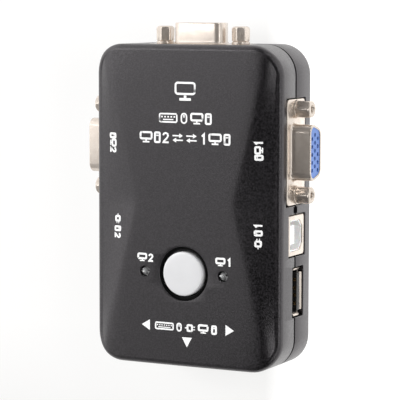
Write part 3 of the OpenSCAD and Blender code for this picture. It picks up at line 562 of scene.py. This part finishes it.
def all_openings():
    """Cutters for the sockets, and for the small notch in the parting line of each long side."""
    made = [opening(place, VGA_FLANGE[0] + 0.5, VGA_FLANGE[1] + 0.9, lift=0.2)
            for place in VGA_PLACES.values()]
    made += [opening(place, USB_B_OUTER[0] + 0.5, USB_B_OUTER[1] + 0.5)
             for place in USB_B_PLACES.values()]
    made += [opening(place, USB_A_LIP[0] + 0.4, USB_A_LIP[1] + 0.4)
             for place in USB_A_PLACES.values()]
    for wall_x in (-HALF_W, HALF_W):
        low = (wall_x - NOTCH_DEPTH, NOTCH_Y[0], SEAM_H - NOTCH_HALF_H)
        high = (wall_x + NOTCH_DEPTH, NOTCH_Y[1], SEAM_H + NOTCH_HALF_H)
        made.append(solid("cutter", block(low, high)))
    return made


ABOVE_FACE = CASE_H + 1
well = [(0, GUIDE_BOTTOM), (GUIDE_R, GUIDE_BOTTOM), (GUIDE_R, WELL_FLOOR - 0.15),
        (GUIDE_R + 0.15, WELL_FLOOR), (WELL_R - 0.25, WELL_FLOOR), (WELL_R, WELL_FLOOR + 0.25)]
well += [(WELL_R + WELL_ROUND - WELL_ROUND * math.cos(math.radians(a)),
          CASE_H - WELL_ROUND + WELL_ROUND * math.sin(math.radians(a)))
         for a in (0, 22, 45, 68, 90)]
well += [(WELL_R + WELL_ROUND, ABOVE_FACE), (0, ABOVE_FACE)]
lamp_hole = [(0, LAMP_HOLE_BOTTOM), (LAMP_R + 0.1, LAMP_HOLE_BOTTOM), (LAMP_R + 0.1, CASE_H - 0.15),
             (LAMP_R + 0.25, CASE_H), (LAMP_R + 0.25, ABOVE_FACE), (0, ABOVE_FACE)]
cutters = [solid("cutter", lathe(well, 128, (0, BUTTON_Y)))]
for sx in (-1, 1):
    cutters.append(solid("cutter", lathe(lamp_hole, 48, (sx * LAMP_X, BUTTON_Y))))
cut(cover_top, *cutters, *all_openings())
placed(cover_top, "case_black", replaces=["top_cover"], sharp=28)

PLATE = (30, 40)
screw_bore = [(0, -1), (2.85, -1), (2.85, 0), (2.7, 0.15), (2.7, 1.4), (1.4, 1.4), (1.4, 3), (0, 3)]
foot_seat = [(0, -1), (4.3, -1), (4.3, 0), (4.15, 0.15), (4.15, 0.5), (0, 0.5)]
cutters = []
for sx in (-1, 1):
    for sy in (-1, 1):
        screw_at = (sx * CASE_SCREW_AT[0], sy * CASE_SCREW_AT[1])
        cutters.append(solid("cutter", lathe(screw_bore, 48, screw_at)))
        foot_at = (sx * FOOT_AT[0], sy * FOOT_AT[1])
        cutters.append(solid("cutter", lathe(foot_seat, 64, foot_at)))
plate_recess = [[(x, y, z) for x, y in round_rect(PLATE[0] + grow, PLATE[1] + grow, 2 + grow / 2)]
                for z, grow in ((-1, 0.3), (0, 0.3), (0.15, 0), (0.3, 0))]
cutters.append(solid("cutter", loft(plate_recess)))
cut(cover_bottom, *cutters, *all_openings())
placed(cover_bottom, "case_black", replaces=["bottom_cover"], sharp=28)

# ------------------------------------------------------------------ button, lamps and feet

CAP_TOP = CASE_H + 0.5
CAP_CROWN = 0.08
CAP_EDGE_R = 0.5
cap = [(0, 18.6), (CAP_R - 0.1, 18.6), (CAP_R, 18.7)]
cap += arc(CAP_R - CAP_EDGE_R, CAP_TOP - CAP_CROWN - CAP_EDGE_R, CAP_EDGE_R, 0, 86, 8)
cap += [(5.0, CAP_TOP - 0.05), (4.0, CAP_TOP - 0.03), (2.5, CAP_TOP - 0.01), (0, CAP_TOP)]
placed(solid("button_dome", lathe(cap, 128, (0, BUTTON_Y))), "button_silver", "button",
       ["button_cap"], sharp=50)

# A thin, very dark lining of the well's floor and wall: painted shade that keeps the recess round
# the cap black
shade_lining = [(GUIDE_R + 0.2, WELL_FLOOR - 0.05), (WELL_R + 0.05, WELL_FLOOR - 0.05),
          (WELL_R + 0.05, CASE_H - 0.4), (WELL_R - 0.1, CASE_H - 0.36),
          (WELL_R - 0.18, WELL_FLOOR + 0.35), (WELL_R - 0.35, WELL_FLOOR + 0.14),
          (GUIDE_R + 0.28, WELL_FLOOR + 0.12), (GUIDE_R + 0.2, WELL_FLOOR + 0.05)]
shade_lining_rings = [circle((0, BUTTON_Y), r, z, 96) for r, z in shade_lining]
placed(solid("button_shade_lining", loft(shade_lining_rings, closed=True)), "foot_rubber", sharp=40)

LAMP_TOP = CASE_H - 0.2
LAMP_BASE = LAMP_TOP - 5.3
CHIP_HALF = 0.16
lamp_lens = [(0, LAMP_BASE), (1.85, LAMP_BASE), (1.9, LAMP_BASE + 0.1), (1.9, LAMP_BASE + 0.85),
             (LAMP_R, LAMP_BASE + 0.95)]
lamp_lens += arc(0, LAMP_TOP - LAMP_R, LAMP_R, 0, 90, 14)[:-1] + [(0, LAMP_TOP)]
lamp_cup = [(r, LAMP_TOP - depth) for r, depth in (
    (0, 2.3), (0.45, 2.3), (0.55, 2.2), (1.12, 1.35), (1.04, 1.3), (0.42, 2.05), (0, 2.05))]
for name, sx in (("1", 1), ("2", -1)):
    at = (sx * LAMP_X, BUTTON_Y)
    placed(solid(f"lamp_{name}_lens", lathe(lamp_lens, 48, at)), "lamp_clear",
           replaces=[f"led_{name}"], sharp=40)
    placed(solid(f"lamp_{name}_reflector", lathe(lamp_cup, 32, at)), "tin", sharp=30)
    chip = block((at[0] - CHIP_HALF, at[1] - CHIP_HALF, LAMP_TOP - 2.03),
                 (at[0] + CHIP_HALF, at[1] + CHIP_HALF, LAMP_TOP - 1.88))
    placed(solid(f"lamp_{name}_chip", chip), "chip_black")

foot_pad = [(0, -FOOT_PROUD), (2.6, -FOOT_PROUD)]
foot_pad += arc(3.3, -0.8, 0.7, -90, 0, 8) + [(4.0, 0.5), (0, 0.5)]
for name, (sx, sy) in (("1", (1, 1)), ("2", (-1, 1)), ("3", (-1, -1)), ("4", (1, -1))):
    placed(solid(f"foot_pad_{name}", lathe(foot_pad, 64, (sx * FOOT_AT[0], sy * FOOT_AT[1]))),
           "foot_rubber", replaces=[f"foot_{name}"])

# ------------------------------------------------------------------ video sockets

D_WIDTH = 16.33
D_HEIGHT = 7.9
D_CORNER_R = 2.6
D_LEAN = 0.836
COLLAR_STEPS = 9


def d_outline(grow):
    """D outline of the collar, wide side up, grown by a distance."""
    hw, hh = D_WIDTH / 2 - D_CORNER_R, D_HEIGHT / 2 - D_CORNER_R
    centres = [(-hw + D_LEAN, -hh), (hw - D_LEAN, -hh), (hw, hh), (-hw, hh)]
    return corner_arcs(centres, D_CORNER_R + grow, COLLAR_STEPS)


def flange_outline(grow):
    """Outline of the flange, grown by a distance."""
    return round_rect(VGA_FLANGE[0] + 2 * grow, VGA_FLANGE[1] + 2 * grow, 1.6 + grow, COLLAR_STEPS)


def vga_shell_part():
    """The flange and its drawn collar, as one closed skin."""
    t, fillet = 0.4, 0.9
    rings = [across(d_outline(-t), -VGA_FLANGE_T)]
    rings += [across(flange_outline(g), x) for x, g in (
        (-0.8, -0.2), (-0.74, -0.05), (-0.62, 0.0), (-0.22, 0.0), (-0.08, -0.06), (0.0, -0.22))]
    for i in range(7):
        a = math.radians(90 * i / 6)
        rings.append(across(d_outline(fillet * (1 - math.sin(a))), fillet * (1 - math.cos(a))))
    rings += [across(d_outline(g), VGA_REACH + x) for x, g in (
        (-0.35, 0.0), (-0.16, -0.05), (-0.04, -0.16), (0.0, -0.32), (-0.02, -0.62), (-0.1, -0.74),
        (-0.22, -0.78), (-0.27, -0.7), (-0.27, -t))]
    return loft(rings, closed=True)


def hexagon(angle):
    """Distance from the axis to the side of the hexagonal head, its corners slightly rounded."""
    from_flat = (math.degrees(angle) + 30) % 60 - 30
    return min(JACK_AF / 2 / math.cos(math.radians(side)) for side in (from_flat, 28))


def jackscrew_part(y):
    """A hexagonal jackscrew with its outer thread behind the flange and its inner thread."""
    angles = full_turn(72)

    def ring(x, radius):
        return [(x, y + radius(a) * math.cos(a), radius(a) * math.sin(a)) for a in angles]

    def head(x, cap):
        return ring(x, lambda a: min(hexagon(a), cap))

    def turned(x, r):
        return ring(x, lambda a: r)

    def thread(x, step, r, ridge, count):
        """Rings of a coarse thread: two of every four step out, or in, by ridge."""
        return [turned(x + step * i, r + (ridge if i % 4 in (1, 2) else 0.0)) for i in range(count)]

    rings = [turned(-5.0, 0.9), turned(-4.8, 1.25)]
    rings += thread(-4.7, 0.16, 1.25, 0.12, 26)
    rings += [turned(-0.1, 1.3), turned(0.0, 1.3), turned(0.0, 2.6), turned(0.06, 2.7),
              turned(0.6, 2.7), turned(0.66, 2.6), turned(0.66, 2.3), head(0.74, 2.3),
              head(0.95, 2.62)]
    rings += [head(JACK_LEN + x, r) for x, r in (
        (-0.9, 2.8), (-0.6, 2.62), (-0.35, 2.42), (-0.18, 2.25), (-0.06, 2.1), (0.0, 1.9))]
    rings += [turned(JACK_LEN, 1.5), turned(JACK_LEN - 0.04, 1.42), turned(JACK_LEN - 0.3, 1.18)]
    rings += thread(JACK_LEN - 0.4, -0.16, 1.15, -0.13, 24)
    rings += [turned(0.9, 1.0), turned(0.75, 0.3)]
    return loft(rings)


for name, place in VGA_PLACES.items():
    shell = solid(f"video_{name}_collar", put(vga_shell_part(), place))
    holes = []
    for sy in (-1, 1):
        outline = arc(sy * JACK_PITCH / 2, 0, JACK_HOLE_R, 0, 345, 23)
        holes.append(solid("cutter", put(loft([across(outline, -2), across(outline, 1)]), place)))
    cut(shell, *holes)
    placed(shell, "nickel", replaces=[f"vga_{name}_shell"], sharp=30)
    pair = [put(jackscrew_part(sy * JACK_PITCH / 2), place) for sy in (-1, 1)]
    placed(solid(f"video_{name}_jackscrews", *pair), "nickel",
           replaces=[f"vga_{name}_jackscrews"], sharp=24)

# ------------------------------------------------------------------ square USB sockets


def usb_b_mouth(grow):
    """Mouth with two bevelled corners, on the side away from the face."""
    w, h, b = USB_B_MOUTH[0] / 2 + grow, USB_B_MOUTH[1] / 2 + grow, USB_B_BEVEL
    share = [i / ARC_STEPS for i in range(ARC_STEPS + 1)]
    points = [(-w + b * s, -h + b * (1 - s)) for s in share]
    points += [(w - b + b * s, -h + b * s) for s in share]
    points += arc(w - 0.25, h - 0.25, 0.25, 0, 90, ARC_STEPS)
    points += arc(-w + 0.25, h - 0.25, 0.25, 90, 180, ARC_STEPS)
    return points


def usb_b_part():
    """The shell: a square tube whose front turns in to the rim of the mouth."""
    w, h = USB_B_OUTER
    hollow = round_rect(w - 0.8, h - 0.8, 0.3)
    rings = [across(hollow, USB_B_BACK)]
    rings += [across(round_rect(w, h, 0.7), x) for x in (USB_B_BACK, -0.65)]
    rings += [across(round_rect(w - 2 * g, h - 2 * g, 0.7), x) for x, g in (
        (-0.4, 0.06), (-0.25, 0.2), (-0.2, 0.45))]
    rings += [across(usb_b_mouth(g), x) for x, g in (
        (-0.2, 0.55), (-0.25, 0.4), (-0.38, 0.32), (-0.6, 0.3))]
    rings.append(across(hollow, -0.6))
    return loft(rings, closed=True)


for name, place in USB_B_PLACES.items():
    placed(solid(f"computer_{name}_usb_frame", put(usb_b_part(), place)), "nickel",
           replaces=[f"usb_b_{name}_shell"], sharp=30)

# ------------------------------------------------------------------ flat USB sockets


LIP_BACK = -1.4
LIP_R = 1.1
LIP_TURN = 70
USB_A_BACK = -13.8
BOARD_TOP = 4.7


def lip(span, half, flip, on_short_side):
    """One lip of the mouth, curling outwards, with its ends slightly rounded off."""
    t, r = USB_A_PLATE, LIP_R
    inner, outer = [], []
    for a in range(0, LIP_TURN + 1, 10):
        sin, cos = math.sin(math.radians(a)), math.cos(math.radians(a))
        inner.append((LIP_BACK + r * sin, half + r * (1 - cos)))
        outer.append((LIP_BACK + (r - t) * sin, half + t + (r - t) * (1 - cos)))
    profile = inner + outer[::-1]
    rings = []
    for share, rounded in ((-0.5, 1), (-0.46, 0), (0.46, 0), (0.5, 1)):
        ring = []
        for i, (x, out) in enumerate(profile):
            if rounded and 5 <= i <= 10:
                x -= 0.08
            y, z = (flip * out, span * share) if on_short_side else (span * share, flip * out)
            ring.append((x, y, z))
        rings.append(ring)
    return loft(rings)


def usb_a_part():
    """The shell: a flat tube, its four lips and the two legs that reach the board."""
    w, h = USB_A_MOUTH
    t = USB_A_PLATE
    outer, inner = round_rect(w + 2 * t, h + 2 * t, 0.55, 5), round_rect(w, h, 0.3, 5)
    tube = loft([across(inner, USB_A_BACK), across(outer, USB_A_BACK), across(outer, LIP_BACK),
                 across(inner, LIP_BACK)], closed=True)
    lips = [lip(w - 1.4, h / 2, flip, on_short_side=False) for flip in (-1, 1)]
    lips += [lip(h - 1.2, w / 2, flip, on_short_side=True) for flip in (-1, 1)]
    legs = []
    for sy in (-1, 1):
        middle = sy * (w / 2 + t / 2)
        legs.append(block((-9, middle - t / 2, -(USB_A_Z - BOARD_TOP)),
                          (-7, middle + t / 2, -h / 2)))
    return [tube, *lips, *legs]


def usb_a_sleeve():
    """Black moulded sleeve just inside the shell, in front of the tongue's own block."""
    w, h = USB_A_MOUTH
    outer = round_rect(w - 0.04, h - 0.04, 0.28, 5)
    inner = round_rect(w - 0.34, h - 0.34, 0.2, 5)
    return loft([across(inner, -10.4), across(outer, -10.4), across(outer, -1.5),
                 across(inner, -1.6)], closed=True)


for name, place in USB_A_PLACES.items():
    placed(solid(f"device_{name}_usb_shell", *[put(p, place) for p in usb_a_part()]), "nickel",
           replaces=[f"usb_a_{name}_shell"], sharp=30)
    placed(solid(f"device_{name}_usb_sleeve", put(usb_a_sleeve(), place)), "usb_black", sharp=30)

# ------------------------------------------------------------------ printed pictograms
INK = 0.03
STROKE = 0.6
STRIP = 0.7


def printed(outline):
    """A thin printed patch on the face from a convex outline, cut into strips so it follows the
    face."""
    xs = [p[0] for p in outline]
    cuts = max(1, math.ceil((max(xs) - min(xs)) / STRIP))
    work = bmesh.new()
    work.faces.new([work.verts.new((x, y, 0)) for x, y in outline])
    for i in range(1, cuts):
        x = min(xs) + (max(xs) - min(xs)) * i / cuts
        bmesh.ops.bisect_plane(work, geom=[*work.verts, *work.edges, *work.faces],
                               plane_co=(x, 0, 0), plane_no=(1, 0, 0))
    bmesh.ops.recalc_face_normals(work, faces=work.faces)
    flat = [list(v.co) for v in work.verts]
    work.verts.index_update()
    faces = [[v.index for v in f.verts] for f in work.faces]
    rims = [(e.verts[0].index, e.verts[1].index) for e in work.edges if e.is_boundary]
    work.free()
    n = len(flat)
    points = [(x, y, face_z(x, y) + INK) for x, y, z in flat]
    points += [(x, y, face_z(x, y) - INK) for x, y, z in flat]
    faces += [[n + i for i in reversed(f)] for f in faces]
    faces += [(a, b, n + b, n + a) for a, b in rims]
    return points, faces


class Pen:
    """Collects printed patches. Its own x and y are millimetres from `at`, times `size`, turned by
    `angle` degrees."""

    def __init__(self, at, angle=0.0, size=1.0):
        self.at, self.angle, self.size = at, math.radians(angle), size
        self.patches = []

    def spot(self, x, y):
        """The place on the face of a point in the pen's own x and y."""
        x, y = x * self.size, y * self.size
        c, s = math.cos(self.angle), math.sin(self.angle)
        return self.at[0] + c * x - s * y, self.at[1] + s * x + c * y

    def shape(self, outline):
        """A filled convex outline."""
        self.patches.append(printed([self.spot(*p) for p in outline]))

    def path(self, points, width=STROKE, closed=False):
        """A bent stroke with mitred corners."""
        width /= self.size
        pts = [Vector(p) for p in points]
        n = len(pts)
        sides = []
        for i, p in enumerate(pts):
            back = pts[i - 1] if closed or i else None
            ahead = pts[(i + 1) % n] if closed or i < n - 1 else None
            d0 = (p - back).normalized() if back is not None else (ahead - p).normalized()
            d1 = (ahead - p).normalized() if ahead is not None else d0
            n0, n1 = Vector((-d0.y, d0.x)), Vector((-d1.y, d1.x))
            m = (n0 + n1).normalized()
            m *= width / 2 / max(0.35, m.dot(n0))
            sides.append((p - m, p + m))
        for i in range(n if closed else n - 1):
            (a0, a1), (b0, b1) = sides[i], sides[(i + 1) % n]
            self.shape([tuple(a0), tuple(b0), tuple(b1), tuple(a1)])

    def frame(self, x0, y0, x1, y1, r=0.4, width=STROKE):
        """The line round a rectangle with round corners."""
        ring = []
        for cx, cy, start in ((x1 - r, y1 - r, 0), (x0 + r, y1 - r, 90),
                              (x0 + r, y0 + r, 180), (x1 - r, y0 + r, 270)):
            ring += arc(cx, cy, r, start, start + 90, 3)
        self.path(ring, width, closed=True)

    def fill(self, x0, y0, x1, y1):
        """A filled rectangle."""
        self.shape([(x0, y0), (x1, y0), (x1, y1), (x0, y1)])


def monitor(pen, x, w=4.2):
    """Screen on a foot, 3.3 high, from x rightwards."""
    pen.frame(x + 0.25, 1.15, x + w - 0.25, 3.05)
    pen.fill(x + w / 2 - 0.25, 0.45, x + w / 2 + 0.25, 0.9)
    pen.fill(x + w / 2 - 1.1, 0.0, x + w / 2 + 1.1, 0.45)


def tower(pen, x, w=2.1):
    """Upright computer, from x rightwards."""
    pen.frame(x + 0.25, 0.25, x + w - 0.25, 3.05, 0.3)
    pen.fill(x + 0.65, 2.05, x + w - 0.65, 2.4)


def keyboard(pen, x, w=6.2):
    """Keyboard with a row of keys and a space bar, from x rightwards."""
    pen.frame(x + 0.25, 0.45, x + w - 0.25, 2.85, 0.4, 0.45)
    keys = int((w - 1.4) / 0.85)
    for i in range(keys):
        left = x + 0.8 + (w - 1.6 - 0.5) * i / (keys - 1)
        pen.fill(left, 1.75, left + 0.5, 2.2)
    pen.fill(x + 1.4, 1.0, x + w - 1.4, 1.35)


def mouse(pen, x, w=2.2):
    """Mouse with a wheel, from x rightwards."""
    pen.frame(x + 0.25, 0.25, x + w - 0.25, 3.05, 0.84, 0.45)
    pen.fill(x + w / 2 - 0.2, 1.85, x + w / 2 + 0.2, 2.65)


def swap(pen, x, w=3.4):
    """Two arrows, one each way."""
    pen.fill(x, 2.1, x + w - 1.1, 2.5)
    pen.shape([(x + w - 1.2, 1.6), (x + w, 2.3), (x + w - 1.2, 3.0)])
    pen.fill(x + 1.1, 0.8, x + w, 1.2)
    pen.shape([(x, 1.0), (x + 1.2, 0.3), (x + 1.2, 1.7)])


def plug(pen, x):
    """Generic square plug with a short lead, from x rightwards."""
    pen.fill(x, 1.4, x + 0.9, 1.85)
    pen.frame(x + 1.1, 0.55, x + 3.0, 2.7, 0.3)
    pen.fill(x + 3.2, 0.95, x + 4.2, 1.3)
    pen.fill(x + 3.2, 1.95, x + 4.2, 2.3)


def one(pen, x):
    """The numeral 1."""
    pen.path([(x + 0.1, 2.35), (x + 0.8, 3.0), (x + 0.8, 0.0)], 0.55)


def two(pen, x):
    """The numeral 2."""
    pen.path([(x + 0.1, 2.3), (x + 0.35, 2.8), (x + 0.95, 3.0), (x + 1.55, 2.75), (x + 1.7, 2.15),
              (x + 1.3, 1.5), (x + 0.35, 0.62), (x + 0.15, 0.27), (x + 1.9, 0.27)], 0.52)


def arrow(pen, *corners):
    """A filled triangle by its corners on the face."""
    pen.shape(corners)


# Name of each mark, its pen, and what the pen draws, with the place along its line
MARKS = (
    ("top_mark", Pen((-3.0, 31.2), size=1.7), [(monitor, 0.0)]),
    ("line_1", Pen((-8.1, 24.4)), [(keyboard, 0.0), (mouse, 7.2), (monitor, 10.4), (tower, 15.2)]),
    ("line_2", Pen((-14.45, 18.6)), [
        (monitor, 0.0), (tower, 4.8), (two, 7.7), (swap, 10.9), (swap, 15.4), (one, 20.4),
        (monitor, 22.7), (tower, 27.6)]),
    ("lamp_2_mark", Pen((-15.2, -16.7), size=0.72), [(monitor, 0.0), (two, 5.2)]),
    ("lamp_1_mark", Pen((10.65, -16.65), size=0.72), [(monitor, 0.0), (one, 5.4)]),
    ("console", Pen((-9.4, -36.9), size=0.78), [
        (keyboard, 0.0, 8.0), (mouse, 9.2), (plug, 12.8), (monitor, 18.4), (tower, 24.0)]),
    ("side_2_video", Pen((-25.2, 21.0), -90, 0.72), [
        (tower, 0.0), (monitor, 2.5, 3.0), (two, 6.0)]),
    ("side_2_usb", Pen((-23.6, -3.1), -90, 0.68), [(plug, 0.0), (tower, 5.4), (two, 8.6)]),
    ("side_1_video", Pen((25.1, 14.6), 90, 0.72), [
        (tower, 0.0), (monitor, 2.5, 3.0), (one, 6.2)]),
    ("side_1_usb", Pen((24.9, -11.1), 90, 0.72), [(plug, 0.0), (tower, 5.3), (one, 8.6)]),
    ("arrows", Pen((0, 0)), [
        (arrow, (-13.86, -35.6), (-11.16, -37.2), (-11.16, -34.0)),
        (arrow, (16.57, -35.4), (13.87, -33.8), (13.87, -37.0)),
        (arrow, (1.2, -41.4), (2.85, -38.5), (-0.45, -38.5))]),
)
for name, pen, signs in MARKS:
    for draw, *where in signs:
        draw(pen, *where)
    placed(solid(f"print_{name}", *pen.patches), "print_white")

# ------------------------------------------------------------------ camera, floor and light


def to_row(x, y, z):
    """A point in case millimetres, in the row frame."""
    return (Vector((x, y, z)) + ROW_SHIFT) * MM


def look_at(obj, aim, roll=0.0):
    """Turns a camera or light towards aim, with the row's y axis upwards in its view."""
    back = (obj.location - aim).normalized()
    right = Vector((0, 1, 0)).cross(back).normalized() if abs(back.y) < 0.99 else Vector((1, 0, 0))
    up = back.cross(right)
    c, s = math.cos(roll), math.sin(roll)
    axes = (c * right + s * up, c * up - s * right, back)
    obj.rotation_mode = "QUATERNION"
    obj.rotation_quaternion = Matrix([[a[i] for a in axes] for i in range(3)]).to_quaternion()


# The camera that was solved from the photograph, in case millimetres
CAMERA_AT = (267.662, 60.627, 539.150)
CAMERA_AIM = (-6.515, -0.279, 0.0)
CAMERA_ROLL = 0.096
camera_data = bpy.data.cameras.new("camera")
camera_data.sensor_width = 36.0
camera_data.lens = 179.58
camera_data.clip_start, camera_data.clip_end = 0.02, 50.0
camera = bpy.data.objects.new("camera", camera_data)
bpy.context.scene.collection.objects.link(camera)
camera.location = to_row(*CAMERA_AT)
look_at(camera, to_row(*CAMERA_AIM), math.radians(CAMERA_ROLL))
bpy.context.scene.camera = camera

# The floor is pale paper that also glows, a painted light: most in a strip under computer 1's edge,
# which that wall reflects, and least from the middle to computer 2's side. In y the glow fades to
# FAR_GLOW far from the object, and past the flat USB end only USB_END_SHADE_SHARE of it is left,
# a painted shade on the floor below the object.
FLOOR_GLOW = 1.35
FAR_GLOW = 0.86
USB_END_SHADE_SHARE = 0.86
GLOW_HALF_SPAN = 0.1
# The strip at 1.35 between 0.031 and 0.0365 is painted light, glowing for computer 1's wall to
# reflect
FLOOR_STOPS = ((-0.1, 0.82), (0.015, 0.82), (0.031, 1.35), (0.0365, 1.35), (0.0385, 1.0),
               (0.044, 0.95), (0.08, 1.0))  # metres along x, glow
floor_mesh = bpy.data.meshes.new("floor")
floor_mesh.from_pydata([(-6, -6, 0), (6, -6, 0), (6, 6, 0), (-6, 6, 0)], [], [(0, 1, 2, 3)])
floor = bpy.data.objects.new("floor", floor_mesh)
bpy.context.scene.collection.objects.link(floor)
paper = bpy.data.materials.new("paper")
paper.use_nodes = True
nodes, links = paper.node_tree.nodes, paper.node_tree.links
shader = nodes["Principled BSDF"]
shader.inputs["Base Color"].default_value = (0.16, 0.16, 0.16, 1)
shader.inputs["Roughness"].default_value = 0.8
shader.inputs["Specular IOR Level"].default_value = 0.1
shader.inputs["Emission Color"].default_value = (1.0, 0.995, 0.985, 1)
coords = nodes.new("ShaderNodeTexCoord")
across_floor = nodes.new("ShaderNodeSeparateXYZ")
links.new(coords.outputs["Object"], across_floor.inputs[0])
along_x = map_range(nodes, links, across_floor.outputs["X"], -GLOW_HALF_SPAN, GLOW_HALF_SPAN)
glow = ramp(nodes, links, along_x, [
    ((x + GLOW_HALF_SPAN) / (2 * GLOW_HALF_SPAN), value / FLOOR_GLOW) for x, value in FLOOR_STOPS])
for side in (-1, 1):
    fade = nodes.new("ShaderNodeMix")
    fade.data_type = "RGBA"
    away = map_range(nodes, links, across_floor.outputs["Y"], side * 0.09, side * 0.22)
    links.new(away, fade.inputs["Factor"])
    links.new(glow, fade.inputs["A"])
    fade.inputs["B"].default_value = (FAR_GLOW / FLOOR_GLOW,) * 3 + (1.0,)
    glow = fade.outputs["Result"]
strength = nodes.new("ShaderNodeMath")
strength.operation = "MULTIPLY"
links.new(glow, strength.inputs[0])
# Painted shade: the glow drops past the flat USB end, below the object
near_end = map_range(nodes, links, across_floor.outputs["Y"], -0.09, -0.045,
                     USB_END_SHADE_SHARE * FLOOR_GLOW, FLOOR_GLOW)
links.new(near_end, strength.inputs[1])
links.new(strength.outputs["Value"], shader.inputs["Emission Strength"])
floor_mesh.materials.append(paper)

CENTRE = Vector((0.0, 0.0, 0.012))


def softbox(name, direction, distance, width, height, radiance, mirrored=True):
    """A soft rectangular light aimed at the object, given by how bright its face looks. One that
    isn't mirrored lights the object without showing in its glossy surfaces."""
    light = bpy.data.lights.new(name, "AREA")
    light.shape = "RECTANGLE"
    light.size, light.size_y = width, height
    light.energy = radiance * math.pi * width * height
    obj = bpy.data.objects.new(name, light)
    bpy.context.scene.collection.objects.link(obj)
    obj.location = CENTRE + Vector(direction).normalized() * distance
    look_at(obj, CENTRE)
    obj.visible_camera = False
    obj.visible_glossy = mirrored


softbox("key", (-0.66, 0.15, 0.55), 1.0, 0.5, 0.5, 12.5, mirrored=False)
softbox("rim", (-0.45, 0.29, 0.84), 1.0, 0.5, 0.05, 8.0)
softbox("fill", (0.755, -0.04, 0.655), 1.0, 0.18, 0.9, 2.3)
softbox("side", (0.85, 0.10, 0.45), 1.0, 0.5, 0.5, 6.0, mirrored=False)
softbox("glint", (0.47, 0.71, 0.54), 1.5, 0.22, 0.22, 10.0)

# Brightness of the studio overhead, from computer 1's side (-1) to computer 2's (1). It is scaled
# to be brighter towards the monitor end, and turns pale near the horizon and below it.
SKY = ((-0.95, 0.6), (-0.85, 0.4), (-0.7, 0.03), (-0.15, 0.01), (0.08, 0.01), (0.22, 0.08),
       (0.3, 0.26), (0.4, 0.58), (0.43, 0.68), (0.46, 0.78), (0.5, 0.82), (0.76, 1.1),
       (0.86, 0.95), (1.0, 0.95))
SKY_PEAK = max(value for place, value in SKY)
SKY_USB_END = 0.36
SKY_MONITOR_END = 1.3
world = bpy.data.worlds.new("studio")
bpy.context.scene.world = world
world.use_nodes = True
nodes, links = world.node_tree.nodes, world.node_tree.links
background = nodes["Background"]
background.inputs["Strength"].default_value = 1.0
coords = nodes.new("ShaderNodeTexCoord")
split = nodes.new("ShaderNodeSeparateXYZ")
links.new(coords.outputs["Generated"], split.inputs[0])
overhead = ramp(nodes, links, map_range(nodes, links, split.outputs["X"], 1.0, -1.0),
                [((place + 1) / 2, value / SKY_PEAK) for place, value in SKY])
towards_monitor_end = map_range(nodes, links, split.outputs["Y"], -0.25, 0.0,
                                SKY_USB_END * SKY_PEAK, SKY_MONITOR_END * SKY_PEAK)
scaled = nodes.new("ShaderNodeVectorMath")
scaled.operation = "SCALE"
links.new(overhead, scaled.inputs[0])
links.new(towards_monitor_end, scaled.inputs["Scale"])
horizon = ramp(nodes, links, split.outputs["Z"], [(0.02, 1.0), (0.18, 0.0)])
studio = nodes.new("ShaderNodeMix")
studio.data_type = "RGBA"
links.new(horizon, studio.inputs["Factor"])
links.new(scaled.outputs["Vector"], studio.inputs["A"])
studio.inputs["B"].default_value = (0.95, 0.95, 0.95, 1.0)
links.new(studio.outputs["Result"], background.inputs["Color"])

bpy.context.scene.view_settings.view_transform = "Standard"
bpy.context.scene.view_settings.look = "None"
